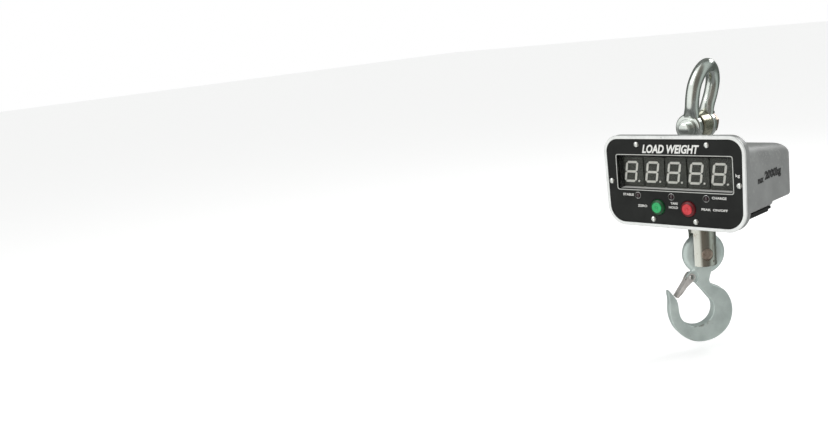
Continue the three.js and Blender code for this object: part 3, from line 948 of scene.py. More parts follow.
    def round_rim(
        self, chosen: Callable[[bmesh.types.BMEdge], bool], width: float, steps: int = FINE
    ) -> "Shape":
        """Round some of the edges.

        Args:
            chosen: Says whether an edge is one of them.
            width: The rounding's width.
            steps: Segments across it.

        Returns:
            The same shape.
        """
        bmesh.ops.bevel(
            self.bm, geom=[e for e in self.bm.edges if chosen(e)], offset=width,
            offset_type="OFFSET", segments=steps, profile=0.5, affect="EDGES",
            clamp_overlap=True, material=-1,
        )
        return self

    def gather(self, others: Iterable["Shape"]) -> "Shape":
        """Add other shapes' surfaces to this one, as they are."""
        for other in others:
            mesh = bpy.data.meshes.new("other")
            other.bm.to_mesh(mesh)
            self.bm.from_mesh(mesh)
            bpy.data.meshes.remove(mesh)
            other.bm.free()
        return self

    def through(self, modify: Callable[[bpy.types.Object], None]) -> "Shape":
        """Put the shape through modifiers, and keep the result.

        Args:
            modify: Adds the modifiers to the object that holds the shape.

        Returns:
            The same shape.
        """
        mesh = bpy.data.meshes.new("work")
        self.bm.to_mesh(mesh)
        self.bm.free()
        holder = bpy.data.objects.new("work", mesh)
        bpy.context.scene.collection.objects.link(holder)
        modify(holder)
        bpy.context.view_layer.update()
        evaluated = holder.evaluated_get(bpy.context.evaluated_depsgraph_get())
        result = bpy.data.meshes.new_from_object(evaluated)
        self.bm = bmesh.new()
        self.bm.from_mesh(result)
        bpy.data.objects.remove(holder)
        bpy.data.meshes.remove(mesh)
        bpy.data.meshes.remove(result)
        return self

    def boolean(self, kind: str, other: "Shape") -> "Shape":
        """Join this shape with another, cut it, or keep what they share.

        Args:
            kind: UNION, DIFFERENCE or INTERSECT.
            other: The other shape, which is used up.

        Returns:
            The same shape.
        """
        mesh = bpy.data.meshes.new("tool")
        other.bm.to_mesh(mesh)
        other.bm.free()
        tool = bpy.data.objects.new("tool", mesh)
        bpy.context.scene.collection.objects.link(tool)

        def modify(holder: bpy.types.Object) -> None:
            """Add the boolean."""
            step = holder.modifiers.new("boolean", "BOOLEAN")
            step.operation, step.solver, step.object = kind, "EXACT", tool

        self.through(modify)
        bpy.data.objects.remove(tool)
        bpy.data.meshes.remove(mesh)
        bmesh.ops.remove_doubles(self.bm, verts=self.bm.verts[:], dist=WELD)
        return self

    def cut(self, *tools: "Shape") -> "Shape":
        """Cut away tools that don't touch each other."""
        return self.boolean("DIFFERENCE", tools[0].gather(tools[1:]))

    def join(self, other: "Shape") -> "Shape":
        """Join with another shape."""
        return self.boolean("UNION", other)

    def forged(self, voxel: float, passes: int) -> "Shape":
        """Melt the shape's parts into one skin with soft edges and fillets, as a forging has.

        Args:
            voxel: The skin's resolution.
            passes: How often it is smoothed.

        Returns:
            The same shape.
        """

        def modify(holder: bpy.types.Object) -> None:
            """Add the remesh and the smoothing."""
            skin = holder.modifiers.new("skin", "REMESH")
            skin.mode, skin.voxel_size, skin.adaptivity = "VOXEL", voxel, 0.0
            soft = holder.modifiers.new("soft", "SMOOTH")
            soft.factor, soft.iterations = 0.5, passes

        return self.through(modify)

    # -- the finished piece --

    def piece(
        self,
        name: str,
        finish: Finish,
        body: str,
        place: Matrix,
        replaces: Sequence[str] = (),
        angle: float = 35.0,
        second: Finish | None = None,
        second_on: Callable[[bmesh.types.BMFace], bool] | None = None,
    ) -> bpy.types.Object:
        """Finish the shape as a piece of the scale.

        Args:
            name: The piece's name.
            finish: Its finish.
            body: The CAD body that carries it.
            place: Puts the shape's millimetres in the row frame's millimetres.
            replaces: The CAD nodes that it stands for.
            angle: Edges sharper than this, in degrees, stay crisp.
            second: A finish for some of its faces.
            second_on: Says whether a face takes the second finish.

        Returns:
            The finished object.
        """
        if second_on:
            for face in self.bm.faces:
                face.material_index = int(second_on(face))
        self.apply(Matrix.Scale(MM, 4) @ place)
        mesh = bpy.data.meshes.new(name)
        self.bm.to_mesh(mesh)
        self.bm.free()
        mesh.shade_smooth()
        mesh.set_sharp_from_angle(angle=math.radians(angle))
        mesh.materials.append(finish.material())
        if second:
            mesh.materials.append(second.material())
        made = bpy.data.objects.new(name, mesh)
        bpy.context.scene.collection.objects.link(made)
        weights = made.modifiers.new("weights", "WEIGHTED_NORMAL")
        weights.keep_sharp = True
        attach(made, body)
        if replaces:
            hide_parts(*replaces)
        LOG.info("%s on %s: %d faces", name, body, len(mesh.polygons))
        return made


def dress(finish: Finish, *nodes: str) -> None:
    """Give CAD nodes that stay a better material.

    Args:
        finish: The finish.
        nodes: The nodes' names.
    """
    for node in nodes:
        mesh = frame["nodes"][node].data
        mesh.materials.clear()
        mesh.materials.append(finish.material())


# ---- Where the sub-assemblies stand ----


class Datum:
    """The sub-assemblies' own frames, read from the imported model, in millimetres."""

    def __init__(self) -> None:
        """Read the frames."""
        bolt, cell = self.middle("shackle_bolt"), self.middle("load_cell")
        pin = Vector((bolt.x, cell.y, bolt.z))
        low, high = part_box("front_panel")
        self.face = Vector(((low.x + high.x) / 2, low.y, (low.z + high.z) / 2)) / MM
        axis = Vector(next(j for j in frame["joints"] if j["name"] == "hook_swing")["axis"])
        turn = Matrix.Rotation(math.atan2(-axis.x, axis.y), 4, "Z")
        lean = Matrix.Rotation(math.atan2(-pin.x, -pin.z), 4, "Y")
        self.shackle_place = Matrix.Translation(pin) @ lean
        self.cell_place = Matrix.Translation(pin)
        self.face_place = Matrix.Translation(self.face)
        self.fork_place = Matrix.Translation(self.middle("hook_pin")) @ turn
        self.latch_place = Matrix.Translation(self.middle("latch_rivet")) @ turn

    @staticmethod
    def middle(node: str) -> Vector:
        """Return the middle of a node's box."""
        low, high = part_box(node)
        return (low + high) / 2 / MM


# ---- Sub-assemblies ----


@dataclass
class Shackle:
    """The bow, its bolt, nut and split pin. Its own frame has the pin along Y and the bow up Z."""

    datum: Datum
    bar: float = 9.5
    bore: float = 10.2
    ear: float = 19.5
    jaw: float = 13.0
    ear_back: float = 24.0
    crown: float = 85.3
    split_from_ear: float = 14.5
    spread: tuple[Point2, ...] = ((18.5, 6.0), (20.0, 24.0), (24.0, 44.0), (23.5, 62.0), (14.5, 78.0))

    def build(self) -> None:
        """Build the shackle's pieces."""
        place = self.datum.shackle_place
        self.bow().piece("bow", BRIGHT_ZINC, "shackle", place, ["shackle_bow"], angle=80)
        self.bolt().piece("bow_bolt", BRIGHT_ZINC, "shackle", place, ["shackle_bolt"])
        self.nut().piece("bow_nut", BROWN_ZINC, "shackle", place, ["shackle_nut"])
        self.split_pin().piece("split_pin", PLAIN_STEEL, "shackle", place, ["cotter_pin"], angle=60)

    def bow(self) -> Shape:
        """Return the forged bow with its two ears."""
        side = [Vector((0, -y, z)) for y, z in self.spread]
        other = [Vector((0, y, z)) for y, z in reversed(self.spread)]
        path = smooth_path([*side, Vector((0, 0, self.crown)), *other], 8)
        sizes = []
        for at in path:
            near = min(max((30 - at.z) / 22, 0), 1)
            sizes.append((self.bar - 3.6 * near, self.bar + 2.6 * near))
        bow = Shape.swept(path, sizes, 40, Vector((1, 0, 0)))
        ears = []
        for way in (-1, 1):
            disc = Shape.turned(
                [
                    (0, self.jaw),
                    (self.ear - 1.5, self.jaw),
                    (self.ear, self.jaw + 1.8),
                    (self.ear, self.ear_back - 2.2),
                    (self.ear - 2.0, self.ear_back),
                    (0, self.ear_back),
                ],
                72,
            )
            ears.append(disc.apply(Matrix.Scale(way, 4, (0, 1, 0))))
        bmesh.ops.recalc_face_normals(ears[0].bm, faces=ears[0].bm.faces[:])
        for ear in ears:
            bow.join(ear)
        jaw = Shape.box((-self.ear - 3, -self.jaw, -22), (self.ear + 3, self.jaw, 19))
        faces = [
            Shape.rod(self.ear - 3, a, b)
            for a, b in ((self.ear_back - 0.2, 45), (-45, -self.ear_back + 0.2))
        ]
        bore = Shape.rod(self.bore, -60, 60)
        return bow.cut(jaw).cut(*faces).cut(bore).forged(0.72, 9)

    def bolt(self) -> Shape:
        """Return the bolt: a round head on a flange, and a plain shank with a pin hole."""
        back = self.ear_back
        bolt = Shape.turned(
            [
                (0, -back - 12.0),
                (4.5, -back - 11.9),
                (6.8, -back - 11.6),
                (8.0, -back - 10.8),
                (8.5, -back - 9.4),
                (8.5, -back - 3.0),
                (11.9, -back - 3.0),
                (12.5, -back - 2.4),
                (12.5, -back - 0.3),
                (10.0, -back - 0.3),
                (10.0, back + 17.0),
                (8.5, back + 18.5),
                (0, back + 18.5),
            ],
            72,
        )
        hole = Shape.rod(1.9, -15, 15, 20, Axis.Z)
        return bolt.cut(hole.move(y=back + self.split_from_ear))

    def nut(self) -> Shape:
        """Return the hexagon nut with chamfered corners."""
        low, high = self.ear_back + 0.3, self.ear_back + 11.0
        return hexagon(16.2, low, high, self.bore)

    def split_pin(self) -> Shape:
        """Return the split pin: a loop over the bolt and two legs bent apart under it."""
        top, foot = 11.6, -13.2
        loop = [
            Vector((2.5 * math.sin(a), 0, 14.4 + 2.5 * math.cos(a)))
            for a in (math.radians(d) for d in range(150, -151, -20))
        ]
        legs = [Vector((0.75, 0, z)) for z in (foot + 2.5, -6, 0, 6, top - 1)]
        ends = [Vector((3.4, 0, foot)), Vector((1.6, 0, foot + 1.0))]
        mirrored = [Vector((-p.x, 0, p.z)) for p in reversed([*ends, *legs])]
        path = smooth_path([*ends, *legs, *loop, *mirrored], 3)
        wire = Shape.swept(path, [(0.85, 0.85)] * len(path), 12, Vector((0, 1, 0)))
        return wire.move(y=self.ear_back + self.split_from_ear)


def hexagon(reach: float, low: float, high: float, bore: float) -> Shape:
    """Make a hexagon nut about the Y axis.

    Args:
        reach: From the middle to a corner.
        low: Where it starts.
        high: Where it ends.
        bore: The radius of its hole.

    Returns:
        The nut.
    """
    turns = [math.radians(60 * i + 30) for i in range(6)]
    prism = Shape.slab([(reach * math.cos(a), reach * math.sin(a)) for a in turns], 0, low, high)
    drop = 1.6
    barrel = Shape.turned(
        [
            (0, low),
            (reach - drop * 1.2, low),
            (reach + 0.2, low + drop),
            (reach + 0.2, high - drop),
            (reach - drop * 1.2, high),
            (0, high),
        ],
        72,
    )
    hole = Shape.rod(bore, low - 5, high + 5, 48)
    return prism.boolean("INTERSECT", barrel).cut(hole)


@dataclass
class LoadCell:
    """The load cell, whose eye and neck show over the case. Its frame is the pin's, upright."""

    datum: Datum
    half: float = 11.0
    eye: float = 20.0
    bore: float = 10.3
    neck: float = 15.0
    body: float = 26.0
    body_top: float = -32.0
    body_low: float = -110.0
    boss: float = 19.5
    boss_low: float = -122.0
    edge: float = 1.3

    def build(self) -> None:
        """Build the load cell and dress the bearing's pieces."""
        self.cell().piece("cell", CELL_STEEL, "case", self.datum.cell_place, ["load_cell"])
        dress(PLAIN_STEEL, "bearing_lower_race", "bearing_upper_race", "swivel_nut", "cell_bracket")
        dress(BRASS, "bearing_ball_cage")

    def cell(self) -> Shape:
        """Return the cell's body, cut out for its gauges and its swivel."""
        edge, half = self.edge, self.half
        eye = Shape.turned(
            [
                (0, -half),
                (self.eye - edge, -half),
                (self.eye, -half + edge),
                (self.eye, half - edge),
                (self.eye - edge, half),
                (0, half),
            ],
            72,
        )
        neck = self.bar(self.neck, -40, 0)
        body = self.bar(self.body, self.body_low, self.body_top)
        boss = Shape.turned(
            [
                (0, self.body_low + 1),
                (self.boss, self.body_low + 1),
                (self.boss, self.boss_low + 0.8),
                (self.boss - 0.8, self.boss_low),
                (0, self.boss_low),
            ],
            64,
            Axis.Z,
        )
        whole = eye.join(neck).join(body).join(boss)
        bore = Shape.rod(self.bore, -30, 30)
        gauges = [Shape.rod(7, -30, 30, 40).move(z=z) for z in (-46, -62)]
        pocket = Shape.box((-19, -30, -104), (19, 30, -74))
        stem = Shape.rod(self.bore, -140, -90, 48, Axis.Z)
        return whole.cut(bore, *gauges).cut(pocket).cut(stem)

    def bar(self, wide: float, low: float, high: float) -> Shape:
        """Return a flat bar of the cell's thickness, from one height to another."""
        return Shape.slab(rectangle(-wide, wide, low, high), 2, -self.half, self.half, self.edge)


@dataclass
class Case:
    """The die-cast case, its covers and seals. Its frame is the front panel's."""

    datum: Datum
    half: float = 98.0
    top: float = 53.0
    low: float = -38.0
    base_low: float = -45.0
    front: float = 10.3
    rear: float = 152.0
    base_rear: float = 95.0
    wall: float = 4.0
    narrow: float = 0.945
    fall: float = 0.60
    load_y: float = 69.0
    cover: tuple[float, float, float] = (64.0, -30.0, 20.0)
    socket_at: Point2 = (76.0, -22.0)
    mark_at: Point2 = (87.0, -3.0)
    foot_at: tuple[float, tuple[float, float]] = (84.0, (26.0, 82.0))

    def build(self) -> None:
        """Build the case's pieces."""
        place = self.datum.face_place
        self.shell().piece("case_body", ENAMEL, "case", place, ["case_shell"], angle=28)
        self.rear_cover().piece("rear_plate", ENAMEL, "case", place, ["rear_cover"])
        for i, (x, z) in enumerate(self.rear_screws()):
            screw = cross_screw(3.0, 0.3, 4.0, flush=True).apply(Matrix.Rotation(math.pi, 4, "Z"))
            screw.move(x, self.rear + 2.8, z)
            screw.piece(f"rear_plate_screw_{i + 1}", CHROME, "case", place, [f"rear_screw_{i + 1}"])
        self.base_plates(place)
        self.seals(place)
        self.socket().piece("charge_socket", SOCKET, "case", place, ["charging_socket"])
        self.capacity_mark().piece("capacity_mark", STENCIL, "case", place)
        dress(CELL_PACK, "battery")
        dress(BOARD, "main_board")

    def drafted(self, at: Vector) -> Vector:
        """Return where the casting's draft moves a point: narrower and lower to the rear."""
        t = at.y / self.rear
        drop = 1 + (self.fall - 1) * t if at.z > 0 else 1
        return Vector((at.x * (1 + (self.narrow - 1) * t), at.y, at.z * drop))

    def block(
        self, inset: float, low: float, top: float, radii: Point2, front: float, rear: float, edge: float
    ) -> Shape:
        """Return one drafted block of the case.

        Args:
            inset: How far it is inside the case's skin.
            low: Its underside.
            top: Its top.
            radii: The radii of its lower and upper corners.
            front: Where it starts.
            rear: Where it ends.
            edge: The rounding of its rear rim.

        Returns:
            The block.
        """
        half = self.half - inset
        each = [radii[0], radii[0], radii[1], radii[1]]
        outline = rectangle(-half, half, low, top)
        made = Shape.slab(outline, each, front, rear, (0.0, edge), steps=14)
        return made.warp(self.drafted)

    def shell(self) -> Shape:
        """Return the hollow case: a tall block with a lower, shorter one under it."""
        w = self.wall
        outer = self.block(0, self.low - 3.0, self.top, (5, 24), self.front, self.rear, 4)
        foot = self.block(0, self.base_low, 0, (6, 8), self.front, self.base_rear, 2.5)
        outer.join(foot)
        room = self.block(w, self.low + w, self.top - w, (6, 20), self.front - 3, self.rear - w, 4)
        under = self.block(w, self.base_low - 6, 0, (4, 6), self.front - 3, self.base_rear - w, 1)
        outer.cut(room.join(under))
        opening = rectangle(-18.5, 18.5, self.load_y - 14, self.load_y + 14)
        neck = Shape.slab(opening, 4, 10, 80, axis=Axis.Z)
        x, z = self.socket_at
        port = Shape.rod(5.2, 0, 20, 32).move(x, self.rear - 10, z)
        return outer.cut(neck, port)

    def rear_screws(self) -> list[Point2]:
        """Return where the rear cover's screws are."""
        half, low, high = self.cover
        return [(s * (half - 6), z) for s in (-1, 1) for z in (low + 6, high - 6)]

    def rear_cover(self) -> Shape:
        """Return the battery cover at the rear, countersunk for its screws."""
        half, low, high = self.cover
        outline = rectangle(-half, half, low, high)
        cover = Shape.slab(outline, 7, self.rear + 0.3, self.rear + 3, (0.0, 0.8))
        sink = [(0, -2), (1.8, -2), (1.8, 0.9), (3.4, 2.5), (3.4, 6), (0, 6)]
        spots = self.rear_screws()
        return cover.cut(*(Shape.turned(sink, 32).move(x, self.rear, z) for x, z in spots))

    def base_slab(self, inset: float, z0: float, z1: float, edge: float) -> Shape:
        """Return a plate in the base's plan between two heights."""
        half, near, far = self.half - 1 - inset, self.front + 0.3 + inset, self.base_rear - inset
        outline = rectangle(-half, half, near, far)
        made = Shape.slab(outline, [2, 2, 6, 6], z0, z1, (edge, 0.0), Axis.Z)
        return made.warp(self.drafted)

    def base_plates(self, place: Matrix) -> None:
        """Build the gasket, the bottom cover and its screws."""
        low = self.base_low
        x, ys = self.foot_at
        gasket = self.base_slab(0.5, low - 3, low - 0.3, 0)
        middle = Shape.box((-75, 21.5, low - 20), (75, 89.5, low + 20))
        gasket.cut(middle).piece("base_gasket", RUBBER, "case", place, ["bottom_gasket"])
        hole = Shape.rod(24, -70, -30, 64, Axis.Z)
        plate = self.base_slab(3, low - 7, low - 3.3, 0.8).cut(hole.move(y=self.load_y))
        plate.piece("base_plate", BASE_BLACK, "case", place, ["bottom_cover"])
        spots = [(s * x, y) for s in (-1, 1) for y in ys]
        for i, (sx, sy) in enumerate(spots):
            screw = cross_screw(3.2, 1.9, 7.0).apply(Matrix.Rotation(math.radians(90), 4, "X"))
            screw.move(sx, sy, low - 7.1)
            screw.piece(f"base_screw_{i + 1}", CHROME, "case", place, [f"bottom_screw_{i + 1}"])

    def seals(self, place: Matrix) -> None:
        """Build the rubber round the load cell's neck and boss."""
        slope = math.atan(self.top * (1 - self.fall) / self.rear)
        height = self.top - math.tan(slope) * self.load_y
        outline = rectangle(-20.5, 20.5, -15.5, 15.5)
        lip = Shape.slab(outline, 5, 0.35, 1.85, (0.0, 0.6), Axis.Z)
        collar = Shape.slab(rectangle(-18, 18, -13.5, 13.5), 3.8, -6.1, 1, 0, Axis.Z)
        seal = lip.join(collar).apply(Matrix.Rotation(-slope, 4, "X")).move(y=self.load_y, z=height)
        neck = Shape.box((-15.4, self.load_y - 11.4, height - 20), (15.4, self.load_y + 11.4, height + 20))
        seal.cut(neck).piece("neck_seal", RUBBER, "case", place, ["top_seal"])
        low = self.base_low
        ring = Shape.turned(
            [(19.8, low - 7), (23.0, low - 7), (23.5, low - 6.5), (23.5, low - 3.5), (19.8, low - 3.5)],
            64, Axis.Z, closed=True,
        )
        ring.move(y=self.load_y).piece("boss_seal", RUBBER, "case", place, ["bottom_seal"])

    def socket(self) -> Shape:
        """Return the charging socket: a flange with a round well and its contact pin."""
        profile = [
            (0, -9), (4.8, -9), (4.8, 4.3), (7.6, 4.3), (8, 4.7), (8, 6.4), (7.4, 7),
            (3.8, 7), (3.4, 6.6), (3.4, -3), (0.9, -3), (0.9, 4.6), (0, 5.0),
        ]
        x, z = self.socket_at
        return Shape.turned(profile, 48).move(x, self.rear, z)

    def capacity_mark(self) -> Shape:
        """Return the plain capacity marking on the case's right side."""
        mark = Shape.lettering("2000kg", (10, 1.0), (50, 15), bold=0.075, depth=0.15)
        mark.gather([Shape.lettering("max", (-27, -2.0), (17, 7.0), bold=0.06, depth=0.15)])
        mark.apply(Matrix.Rotation(math.radians(90), 4, "Z"))
        lean = math.atan(self.half * (1 - self.narrow) / self.rear)
        mark.apply(Matrix.Rotation(lean, 4, "Z"))
        y, z = self.mark_at
        side = self.half * (1 + (self.narrow - 1) * y / self.rear)
        return mark.move(side + 0.02, y, z)


def cross_screw(head: float, height: float, shank: float, flush: bool = False) -> Shape:
    """Make a cross-recessed screw whose head faces -Y, its seat at y = 0.

    Args:
        head: The head's radius.
        height: The head's height over its seat.
        shank: How far the shank shows behind the seat.
        flush: Whether the head is countersunk.

    Returns:
        The screw.
    """
    thin = head * 0.42
    if flush:
        profile = [
            (0, 0), (head * 0.96, 0), (head, 0.15), (head, 0.3),
            (thin, 2.0), (thin, shank), (0, shank),
        ]
        top = 0.0
    else:
        profile = [
            (0, -height), (head * 0.3, -height * 0.98), (head * 0.6, -height * 0.86),
            (head * 0.85, -height * 0.58), (head * 0.97, -height * 0.28), (head, -0.05),
            (head * 0.98, 0.0), (thin, 0.0), (thin, shank), (0, shank),
        ]
        top = -height
    screw = Shape.turned(profile, 40)
    deep = top + (0.9 if flush else height * 0.38)
    reach, wide = head * 0.5, head * 0.12
    bars = Shape.box((-reach, top - 1, -wide), (reach, deep, wide))
    bars.join(Shape.box((-wide, top - 1, -reach), (wide, deep, reach)))
    return screw.cut(bars)


@dataclass
class Face:
    """The front: the rim, the panel with its print, the display, lamps and buttons."""

    datum: Datum
    half: float = 102.5
    draft: float = 1.2
    height: float = 118.0
    thick: float = 3.0
    rim: float = 5.0
    window: tuple[float, float, float, float] = (-88.0, 88.0, -11.5, 36.5)
    line: tuple[float, float, float, float] = (-88.0, 88.9, -12.0, 36.6)
    line_wide: float = 1.15
    lens_lap: float = 2.8
    digit: tuple[float, float, float, float] = (16.8, 27.0, 1.6, 0.35)
    digit_slant: float = 9.5
    digit_shift: float = 3.3
    cap_top: float = 7.2
    screws: tuple[Point2, ...] = ()
    lamps: tuple[float, ...] = (-55.6, -2.6, 49.8)
    lamp_z: float = -20.0
    buttons: tuple[float, float] = (-24.6, 22.3)
    button_z: float = -35.5

    def build(self) -> None:
        """Build the front's pieces."""
        place = self.datum.face_place
        self.screws = tuple(self.screw_spots())
        self.frame_rim().piece(
            "front_rim", BRIGHT_RIM, "case", place, ["bezel_frame"], angle=28,
            second=ENAMEL, second_on=lambda f: f.calc_center_median().y > 0.5,
        )
        self.panel().piece("printed_panel", PANEL_BLACK, "case", place, ["front_panel"])
        for i, (x, z) in enumerate(self.screws):
            screw = cross_screw(4.1, 2.5, 8.0).apply(Matrix.Rotation(0.5 * i, 4, "Y")).move(x, -0.1, z)
            screw.piece(f"front_screw_{i + 1}", CHROME, "case", place, [f"panel_screw_{i + 1}"])
        self.print_work(place)
        self.display(place)
        for i, x in enumerate(self.lamps):
            self.lamp(i + 1, x, place)
        self.button("green_button", self.buttons[0], GREEN_TOP, GREEN_SKIRT_SHADE, place)
        self.button("red_button", self.buttons[1], RED_TOP, RED_SKIRT_SHADE, place)
        dress(SOCKET, "green_switch", "red_switch")

    def screw_spots(self) -> list[Point2]:
        """Return where the six panel screws are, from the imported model."""
        spots = []
        for i in range(6):
            at = self.datum.middle(f"panel_screw_{i + 1}") - self.datum.face
            spots.append((at.x, at.z))
        return spots

    def outline(self, grow: float) -> tuple[list[Point2], list[float]]:
        """Return the panel's corners and their radii, grown by a margin."""
        high = self.height / 2 + grow
        top, foot = self.half + self.draft + grow, self.half - self.draft + grow
        corners = [(-foot, -high), (foot, -high), (top, high), (-top, high)]
        return corners, [23 + grow, 23 + grow, 19 + grow, 19 + grow]

    def plate(self, grow: float, low: float, high: float, edge: float | Point2 = 0.0) -> Shape:
        """Return a plate in the panel's outline."""
        corners, radii = self.outline(grow)
        return Shape.slab(corners, radii, low, high, edge, steps=16)

    def frame_rim(self) -> Shape:
        """Return the bright rim round the panel, with the flange behind it."""
        rim = self.plate(self.rim, -1, 10, (1.8, 0.6))
        rim.cut(self.plate(0.3, -2, self.thick + 0.3))
        return rim.cut(self.plate(-9, self.thick - 1, 11))

    def panel(self) -> Shape:
        """Return the panel with its window and holes."""
        left, right, low, high = self.window
        holes = [Shape.slab(rectangle(left, right, low, high), 3, -1, 4)]
        spots = [(x, self.button_z, 11.6) for x in self.buttons]
        spots += [(x, self.lamp_z, 4.3) for x in self.lamps]
        spots += [(x, z, 2.3) for x, z in self.screws]
        for x, z, r in spots:
            holes.append(Shape.rod(r, -1, 4, 48).move(x, 0, z))
        return self.plate(0, 0, self.thick, (0.35, 0.0)).cut(*holes)

    def print_work(self, place: Matrix) -> None:
        """Build the printed frame line and the lettering, all plain words."""
        left, right, low, high = self.line
        wide = self.line_wide
        rim = rectangle(left - wide, right + wide, low - wide, high + wide)
        outer = Shape.slab(rim, 3.5, -0.14, -0.01)
        inner = Shape.slab(rectangle(left, right, low, high), 2.8, -1, 1)
        outer.cut(inner).piece("window_line", PRINT_GREY, "case", place)
        title = Shape.lettering("LOAD WEIGHT", (-1.0, 45.6), (88, 12.0), bold=0.035, slant=0.28)
        title.move(y=-0.01).piece("panel_title", PRINT_WHITE, "case", place)
        words = [
            ("kg", (96.0, 11.8), (6.0, 5.4), 0.01),
            ("STABLE", (-71.5, -19.6), (17.5, 3.4), 0.02),
            ("ZERO", (-49.5, -34.8), (15.0, 3.4), 0.02),
            ("TARE", (1.0, -29.0), (11.0, 3.2), 0.02),
            ("HOLD", (-0.5, -34.6), (14.0, 3.2), 0.02),
            ("CHARGE", (68.5, -18.6), (21.0, 3.4), 0.02),
            ("PEAK  ON/OFF", (61.0, -34.8), (38.0, 3.2), 0.02),
        ]
        prints = Shape()
        made = [Shape.lettering(text, at, size, bold=bold) for text, at, size, bold in words]
        prints.gather(made).move(y=-0.01).piece("panel_captions", PRINT_WHITE, "case", place)

    def display(self, place: Matrix) -> None:
        """Build the lens, the surround and the five digit modules."""
        left, right, low, high = self.window
        lap = self.lens_lap
        corners = rectangle(left - lap, right + lap, low - lap, high + lap)
        lens = Shape.slab(corners, 3, self.thick + 0.3, self.thick + 3, 0.3)
        lens.piece("display_lens", LENS, "case", place, ["window_lens"])
        box = Shape.slab(corners, 3, self.thick + 3.2, 21.2, 0.0)
        room = Shape.slab(rectangle(left, right, low, high), 1, 0, 30)
        # The surround's walls are painted shade; its upward-facing bottom wall takes a painted highlight.
        box.cut(room).piece(
            "display_surround", SHADED_SURROUND, "case", place,
            second=SILL_HIGHLIGHT,
            second_on=lambda f: f.normal.z > 0.9 and f.calc_center_median().z < low + 1,
        )
        for i in range(5):
            self.module(i + 1, place)
        dress(BOARD_DARK, "display_board")

    def module(self, number: int, place: Matrix) -> None:
        """Build one seven-segment module with its strokes and decimal point."""
        node = f"digit_module_{number}"
        low, high = (corner / MM - self.datum.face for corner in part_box(node))
        body = Shape.box(tuple(low), tuple(high), 0.5, 2)
        body.piece(f"digit_body_{number}", MODULE, "case", place, [node])
        middle = (low + high) / 2
        strokes = Shape().gather(self.strokes(*self.digit))
        lean = math.tan(math.radians(self.digit_slant))
        strokes.apply(Matrix(((1, 0, lean, 0), (0, 1, 0, 0), (0, 0, 1, 0), (0, 0, 0, 1))))
        strokes.move(middle.x - self.digit_shift, low.y, middle.z)
        strokes.piece(f"digit_strokes_{number}", STROKE, "case", place)

    @staticmethod
    def strokes(wide: float, tall: float, thick: float, gap: float) -> list[Shape]:
        """Return the seven strokes of a digit and its point, standing just out of y = 0.

        Args:
            wide: Between the middles of the left and right strokes.
            tall: Between the middles of the top and bottom strokes.
            thick: Half a stroke's width.
            gap: Half the gap between two strokes' points.

        Returns:
            The strokes.
        """
        made = []

        def bar(x: float, z: float, length: float, upright: bool) -> None:
            """Add one pointed bar."""
            end = length / 2 - gap
            points = [
                (-end, 0), (-end + thick, -thick), (end - thick, -thick),
                (end, 0), (end - thick, thick), (-end + thick, thick),
            ]
            if upright:
                points = [(-b, a) for a, b in points]
            placed = [(x + a, z + b) for a, b in points]
            made.append(Shape.slab(placed, 0.25, -0.3, 0.1, (0.1, 0.0), steps=2))

        for z in (-tall / 2, 0, tall / 2):
            bar(0, z, wide, False)
        for x in (-wide / 2, wide / 2):
            for z in (-tall / 4, tall / 4):
                bar(x, z, tall / 2, True)
        dot = Shape.turned([(0, -0.3), (1.2, -0.3), (1.5, -0.1), (1.5, 0.1), (0, 0.1)], 24)
        made.append(dot.move(wide / 2 + 5.6, 0, -tall / 2 + 0.2))
        return made

    def lamp(self, number: int, x: float, place: Matrix) -> None:
        """Build one indicator lamp: a bright collar round a dark dome."""
        ring = [
            (3.9, -0.1), (4.0, -0.7), (4.3, -0.95), (4.7, -0.8),
            (4.95, -0.3), (4.95, -0.02), (3.9, -0.02),
        ]
        collar = Shape.turned(ring, 40, closed=True)
        collar.move(x, 0, self.lamp_z).piece(f"lamp_collar_{number}", DARK_CHROME, "case", place)
        bulb = [
            (0, -1.9), (1.2, -1.75), (2.2, -1.25), (2.9, -0.5), (3.2, 0.3),
            (3.2, 2.0), (4.0, 2.0), (4.0, 9.0), (0, 9.0),
        ]
        dome = Shape.turned(bulb, 40).move(x, 0, self.lamp_z)
        dome.piece(f"lamp_dome_{number}", LAMP_GLASS, "case", place, [f"indicator_lamp_{number}"])

    def button(self, name: str, x: float, top: Finish, skirt: Finish, place: Matrix) -> None:
        """Build one push button: a dished cap on a skirt that is painted darker as shade.

        Args:
            name: The CAD node and body that the button is.
            x: Where it is across the panel.
            top: The cap's finish.
            skirt: The skirt's finish, a darker copy of the cap's colour as painted shade.
            place: The front's frame.
        """
        profile = [
            (0, -4.1), (1.3, -4.1), (1.6, -3.5), (2.3, -3.5), (2.7, -4.1), (4.2, -4.25),
            (5.6, -4.5), (6.4, -4.6), (7.0, -4.3), (7.4, -3.8), (7.7, -3.4), (8.6, -3.0),
            (9.7, -2.5), (10.5, -1.7), (10.9, -0.9), (11.0, 0.2),
            (11.0, 4.6), (3.0, 4.6), (3.0, 8.5), (0, 8.5),
        ]

        # Faces outside the cap's top, and behind it, take the skirt's painted shade.
        def on_shaded_skirt(face: bmesh.types.BMFace) -> bool:
            """Say whether a face is outside the cap's top, or behind it."""
            at = face.calc_center_median()
            return math.hypot(at.x - x, at.z - self.button_z) > self.cap_top or at.y > -2

        cap = Shape.turned(profile, 64).move(x, 0, self.button_z)
        cap.piece(
            f"{name}_cap", top, name, place, [name], angle=60, second=skirt, second_on=on_shaded_skirt
        )


